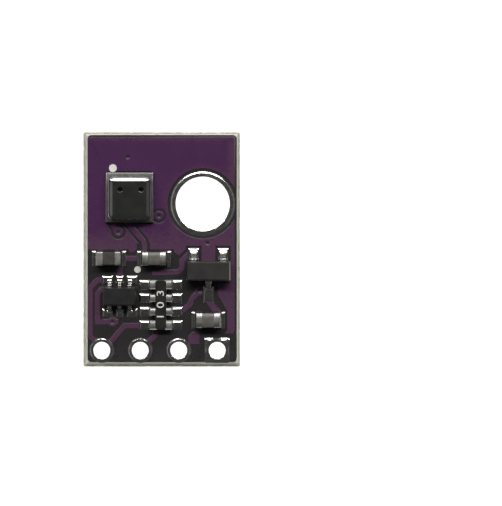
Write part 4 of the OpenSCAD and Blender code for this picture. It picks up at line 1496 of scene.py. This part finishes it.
@dataclass
class ResistorNetwork:
    """The resistor network: a notched ceramic plate with eight terminals, black glaze and a printed code.

    Attributes:
        frame: the construction.
        code: the printed digits, a generic value.
        digit_h: height of a digit.
        digit_stretch: how much wider a digit is than the plain letterform.
        digit_pitch: distance between digits.
    """

    frame: Frame
    code: str = "103"
    digit_h: float = 0.46
    digit_stretch: float = 1.35
    digit_pitch: float = 0.77

    def build(self) -> None:
        """Makes the ceramic, the terminals, the glaze, the digits and the solder."""
        plate = rounded(self.frame, "network_ceramic", 0.012, 2)
        smooth(plate)
        settle(plate, "network_plate", ALUMINA, ["network_ceramic"])
        terminals = self.frame.solids("network_terminals")
        middle = self.frame.box("network_terminals").centre
        def inner(place: Vector, box: Box) -> bool:
            """Whether an edge is on the side of a terminal that faces the plate."""
            side = box.low.x if box.centre.x > middle.x else box.high.x
            return abs(place.x - side) < 0.01

        ends = rounded(self.frame, "network_terminals", 0.05, 3, on_box_edges(terminals, inner))
        crown(ends, terminals, 0.05, cuts=8)
        smooth(ends)
        settle(ends, "network_ends", TERMINAL, ["network_terminals"])
        glaze_box = self.frame.box("network_glaze")
        glaze = block(glaze_box)
        bevel_edges(glaze, 0.19, 6, upright)
        bevel_edges(glaze, 0.025, 3, lambda a, b, angle: min(a.z, b.z) > glaze_box.high.z - 0.002)
        smooth(glaze)
        settle(glaze, "network_glaze_coat", GLAZE, ["network_glaze"])
        dress(self.frame, ["network_resistors"], FILM)
        settle(self.digits(glaze_box), "printed_code", INK)
        solder(self.frame, "network_solder", terminals, 0.3 * terminals[0].size.z, 0.1)

    def digits(self, glaze: Box) -> bpy.types.Object:
        """The code, printed along the glaze so that it reads from the pin holes to the sensor.

        Args:
            glaze: the glaze's box.

        Returns:
            The digits, as one thin mesh.
        """
        pieces = []
        for i, digit in enumerate(self.code):
            bpy.ops.object.text_add(location=(0, 0, 0))
            text = bpy.context.object
            text.data.body = digit
            text.data.align_x = "CENTER"
            text.data.align_y = "CENTER"
            text.data.size = self.digit_h / 0.69
            text.data.extrude = 0.004
            select_only(text)
            bpy.ops.object.convert(target="MESH")
            y = glaze.centre.y + (i - (len(self.code) - 1) / 2) * self.digit_pitch
            turn = Matrix.Rotation(math.radians(90), 4, "Z") @ Matrix.Diagonal((self.digit_stretch, 1, 1, 1))
            text.data.transform(Matrix.Translation((glaze.centre.x, y, glaze.high.z + 0.001)) @ turn)
            pieces.append(text)
        return join(pieces)


@dataclass
class TransistorPair:
    """The transistor pair: a moulded body with six bent leads.

    Attributes:
        frame: the construction.
        stem: how its nodes' names begin.
        moulding: the body's finish.
        ways: for each lead 1 where it points along Y, and -1 where it points back.
        edge_r: radius of the body's edges.
        lead_r: radius of the leads' edges.
        foot_l: length of a lead's foot, where it stands on its solder.
        climb: how high the solder climbs, and from how far out.
    """

    frame: Frame
    stem: str = "transistor"
    moulding: Finish = MOULD
    ways: tuple = (-1, -1, -1, 1, 1, 1)
    edge_r: float = 0.045
    lead_r: float = 0.022
    foot_l: float = 0.2
    climb: tuple = (0.09, 0.08)

    def build(self) -> None:
        """Makes the body, the leads and the solder."""
        node = self.stem + "_body"
        settle(self.body(node), self.stem + "_moulding", self.moulding, [node])
        feet = []
        for i, way in enumerate(self.ways, 1):
            node = f"{self.stem}_lead_{i}"
            lead = rounded(self.frame, node, self.lead_r, 2, lambda a, b, angle: angle > 12)
            smooth(lead, 60)
            settle(lead, node + "_bent", LEAD, [node])
            feet.append(self.foot(node, way))
        solder(self.frame, self.stem + "_solder", feet, *self.climb)

    def body(self, node: str) -> bpy.types.Object:
        """A moulded body with worn edges.

        Args:
            node: its node.

        Returns:
            The piece.
        """

        def outer(a: Vector, b: Vector, angle: float) -> bool:
            """Whether an edge is the body's own and not that of a lead's pocket."""
            return angle > 5 and (a - b).length > 0.5

        piece = rounded(self.frame, node, self.edge_r, 3, outer)
        smooth(piece, 30)
        return piece

    def foot(self, node: str, way: int) -> Box:
        """The box of a lead's foot.

        Args:
            node: the lead's node.
            way: the way that the lead points along Y.

        Returns:
            The box.
        """
        lead = self.frame.box(node)
        low, high = lead.low.copy(), lead.high.copy()
        if way > 0:
            low.y = high.y - self.foot_l
        else:
            high.y = low.y + self.foot_l
        return Box(low, high)


@dataclass
class Regulator(TransistorPair):
    """The voltage regulator: a larger moulded body with three wide leads."""

    stem: str = "regulator"
    moulding: Finish = GREY_MOULD
    ways: tuple = (1, 1, -1)
    edge_r: float = 0.1
    lead_r: float = 0.03
    climb: tuple = (0.1, 0.1)


# Studio


@dataclass
class Studio:
    """The pale floor, the lights and the camera.

    Attributes:
        frame: the construction.
        photo_w: width of the photograph in pixels.
        photo_h: its height.
        scale: pixels in a millimetre.
        origin: the pixel over the board's centre.
        lens: the camera's lens in millimetres.
        sensor: the camera's sensor in millimetres.
    """

    frame: Frame
    photo_w: int = 502
    photo_h: int = 506
    scale: float = 15.15
    origin: tuple = (161.5, 249.25)
    lens: float = 300.0
    sensor: float = 36.0

    def build(self) -> None:
        """Sets up the whole studio."""
        self.camera()
        self.floor()
        self.world()
        self.softbox("key", 0, 57, 0.55, (0.8, 0.09), 14.0)
        self.softbox("north wall", 0, 27, 0.6, (1.6, 0.45), 0.9)
        self.softbox("west fill", -90, 57, 0.6, (0.6, 0.2), 0.2)
        self.softbox("east fill", 90, 57, 0.6, (0.5, 0.2), 0.09)
        bpy.context.scene.view_settings.view_transform = "Standard"

    def camera(self) -> None:
        """A camera straight above the place over which the photograph was taken."""
        x = (self.photo_w / 2 - self.origin[0]) / self.scale
        y = (self.origin[1] - self.photo_h / 2) / self.scale
        away = self.photo_w / self.scale * self.lens / self.sensor
        height = self.frame.box("top_solder_mask").high.z + away
        bpy.ops.object.camera_add(location=(x * MM, y * MM, height * MM), rotation=(0, 0, 0))
        camera = bpy.context.object
        camera.name = "camera"
        camera.data.sensor_fit = "HORIZONTAL"
        camera.data.sensor_width = self.sensor
        camera.data.lens = self.lens
        camera.data.clip_start = 0.001
        camera.data.clip_end = 20
        bpy.context.scene.camera = camera

    def softbox(
        self, name: str, bearing: float, elevation: float, away: float, size: tuple[float, float],
        radiance: float,
    ) -> None:
        """A rectangular light that faces the board.

        Args:
            name: its name.
            bearing: where it stands, in degrees clockwise from the sensor's end.
            elevation: its height above the floor, in degrees.
            away: its distance in metres.
            size: its width and height in metres.
            radiance: how bright its face is.
        """
        turn, lift = math.radians(bearing), math.radians(elevation)
        way = Vector((math.sin(turn) * math.cos(lift), math.cos(turn) * math.cos(lift), math.sin(lift)))
        bpy.ops.object.light_add(type="AREA", location=way * away)
        lamp = bpy.context.object
        lamp.name = name
        lamp.rotation_euler = (-way).to_track_quat("-Z", "Y").to_euler()
        lamp.data.shape = "RECTANGLE"
        lamp.data.size, lamp.data.size_y = size
        lamp.data.energy = radiance * math.pi * size[0] * size[1]

    def floor(self) -> None:
        """The floor that the board lies on: white all over, as on a lit table."""
        bpy.ops.mesh.primitive_plane_add(size=4, location=(0, 0, 0))
        floor = bpy.context.object
        floor.name = "floor"
        material = bpy.data.materials.new("floor")
        material.use_nodes = True
        shading = Shading(material.node_tree)
        surface = shading.add(
            "BsdfPrincipled",
            {"Base Color": (0.85, 0.85, 0.85, 1), "Roughness": 0.9, "Emission Color": (1, 1, 1, 1),
             "Emission Strength": 1.0},
        )
        output = shading.add("OutputMaterial")
        shading.tree.links.new(surface.outputs[0], output.inputs[0])
        floor.data.materials.append(material)

    def world(self) -> None:
        """A dim room round the board, seen as white behind it."""
        world = bpy.data.worlds.new("room")
        world.use_nodes = True
        bpy.context.scene.world = world
        shading = Shading(world.node_tree)
        path = shading.add("LightPath")
        room = shading.add("Background", {"Color": (0.06, 0.06, 0.06, 1)})
        seen = shading.add("Background", {"Color": (1, 1, 1, 1)})
        seen_directly = path.outputs["Is Camera Ray"]
        both = shading.add("MixShader", {0: seen_directly, 1: room.outputs[0], 2: seen.outputs[0]})
        output = shading.add("OutputWorld")
        shading.tree.links.new(both.outputs[0], output.inputs[0])


def main() -> None:
    """Builds the studio and the board."""
    logging.basicConfig(level=logging.INFO, format="%(name)s: %(message)s")
    frame = Frame()
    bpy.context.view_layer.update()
    Studio(frame).build()
    Board(frame).build()
    Sensor(frame).build()
    for number, ceramic in ((1, DARK_CERAMIC), (2, TAN_CERAMIC), (3, TAN_CERAMIC)):
        ChipCapacitor(frame, number, ceramic, 0.01 if number == 1 else 0.08).build()
    ResistorNetwork(frame).build()
    TransistorPair(frame).build()
    Regulator(frame).build()


if __name__ == "__main__":
    main()
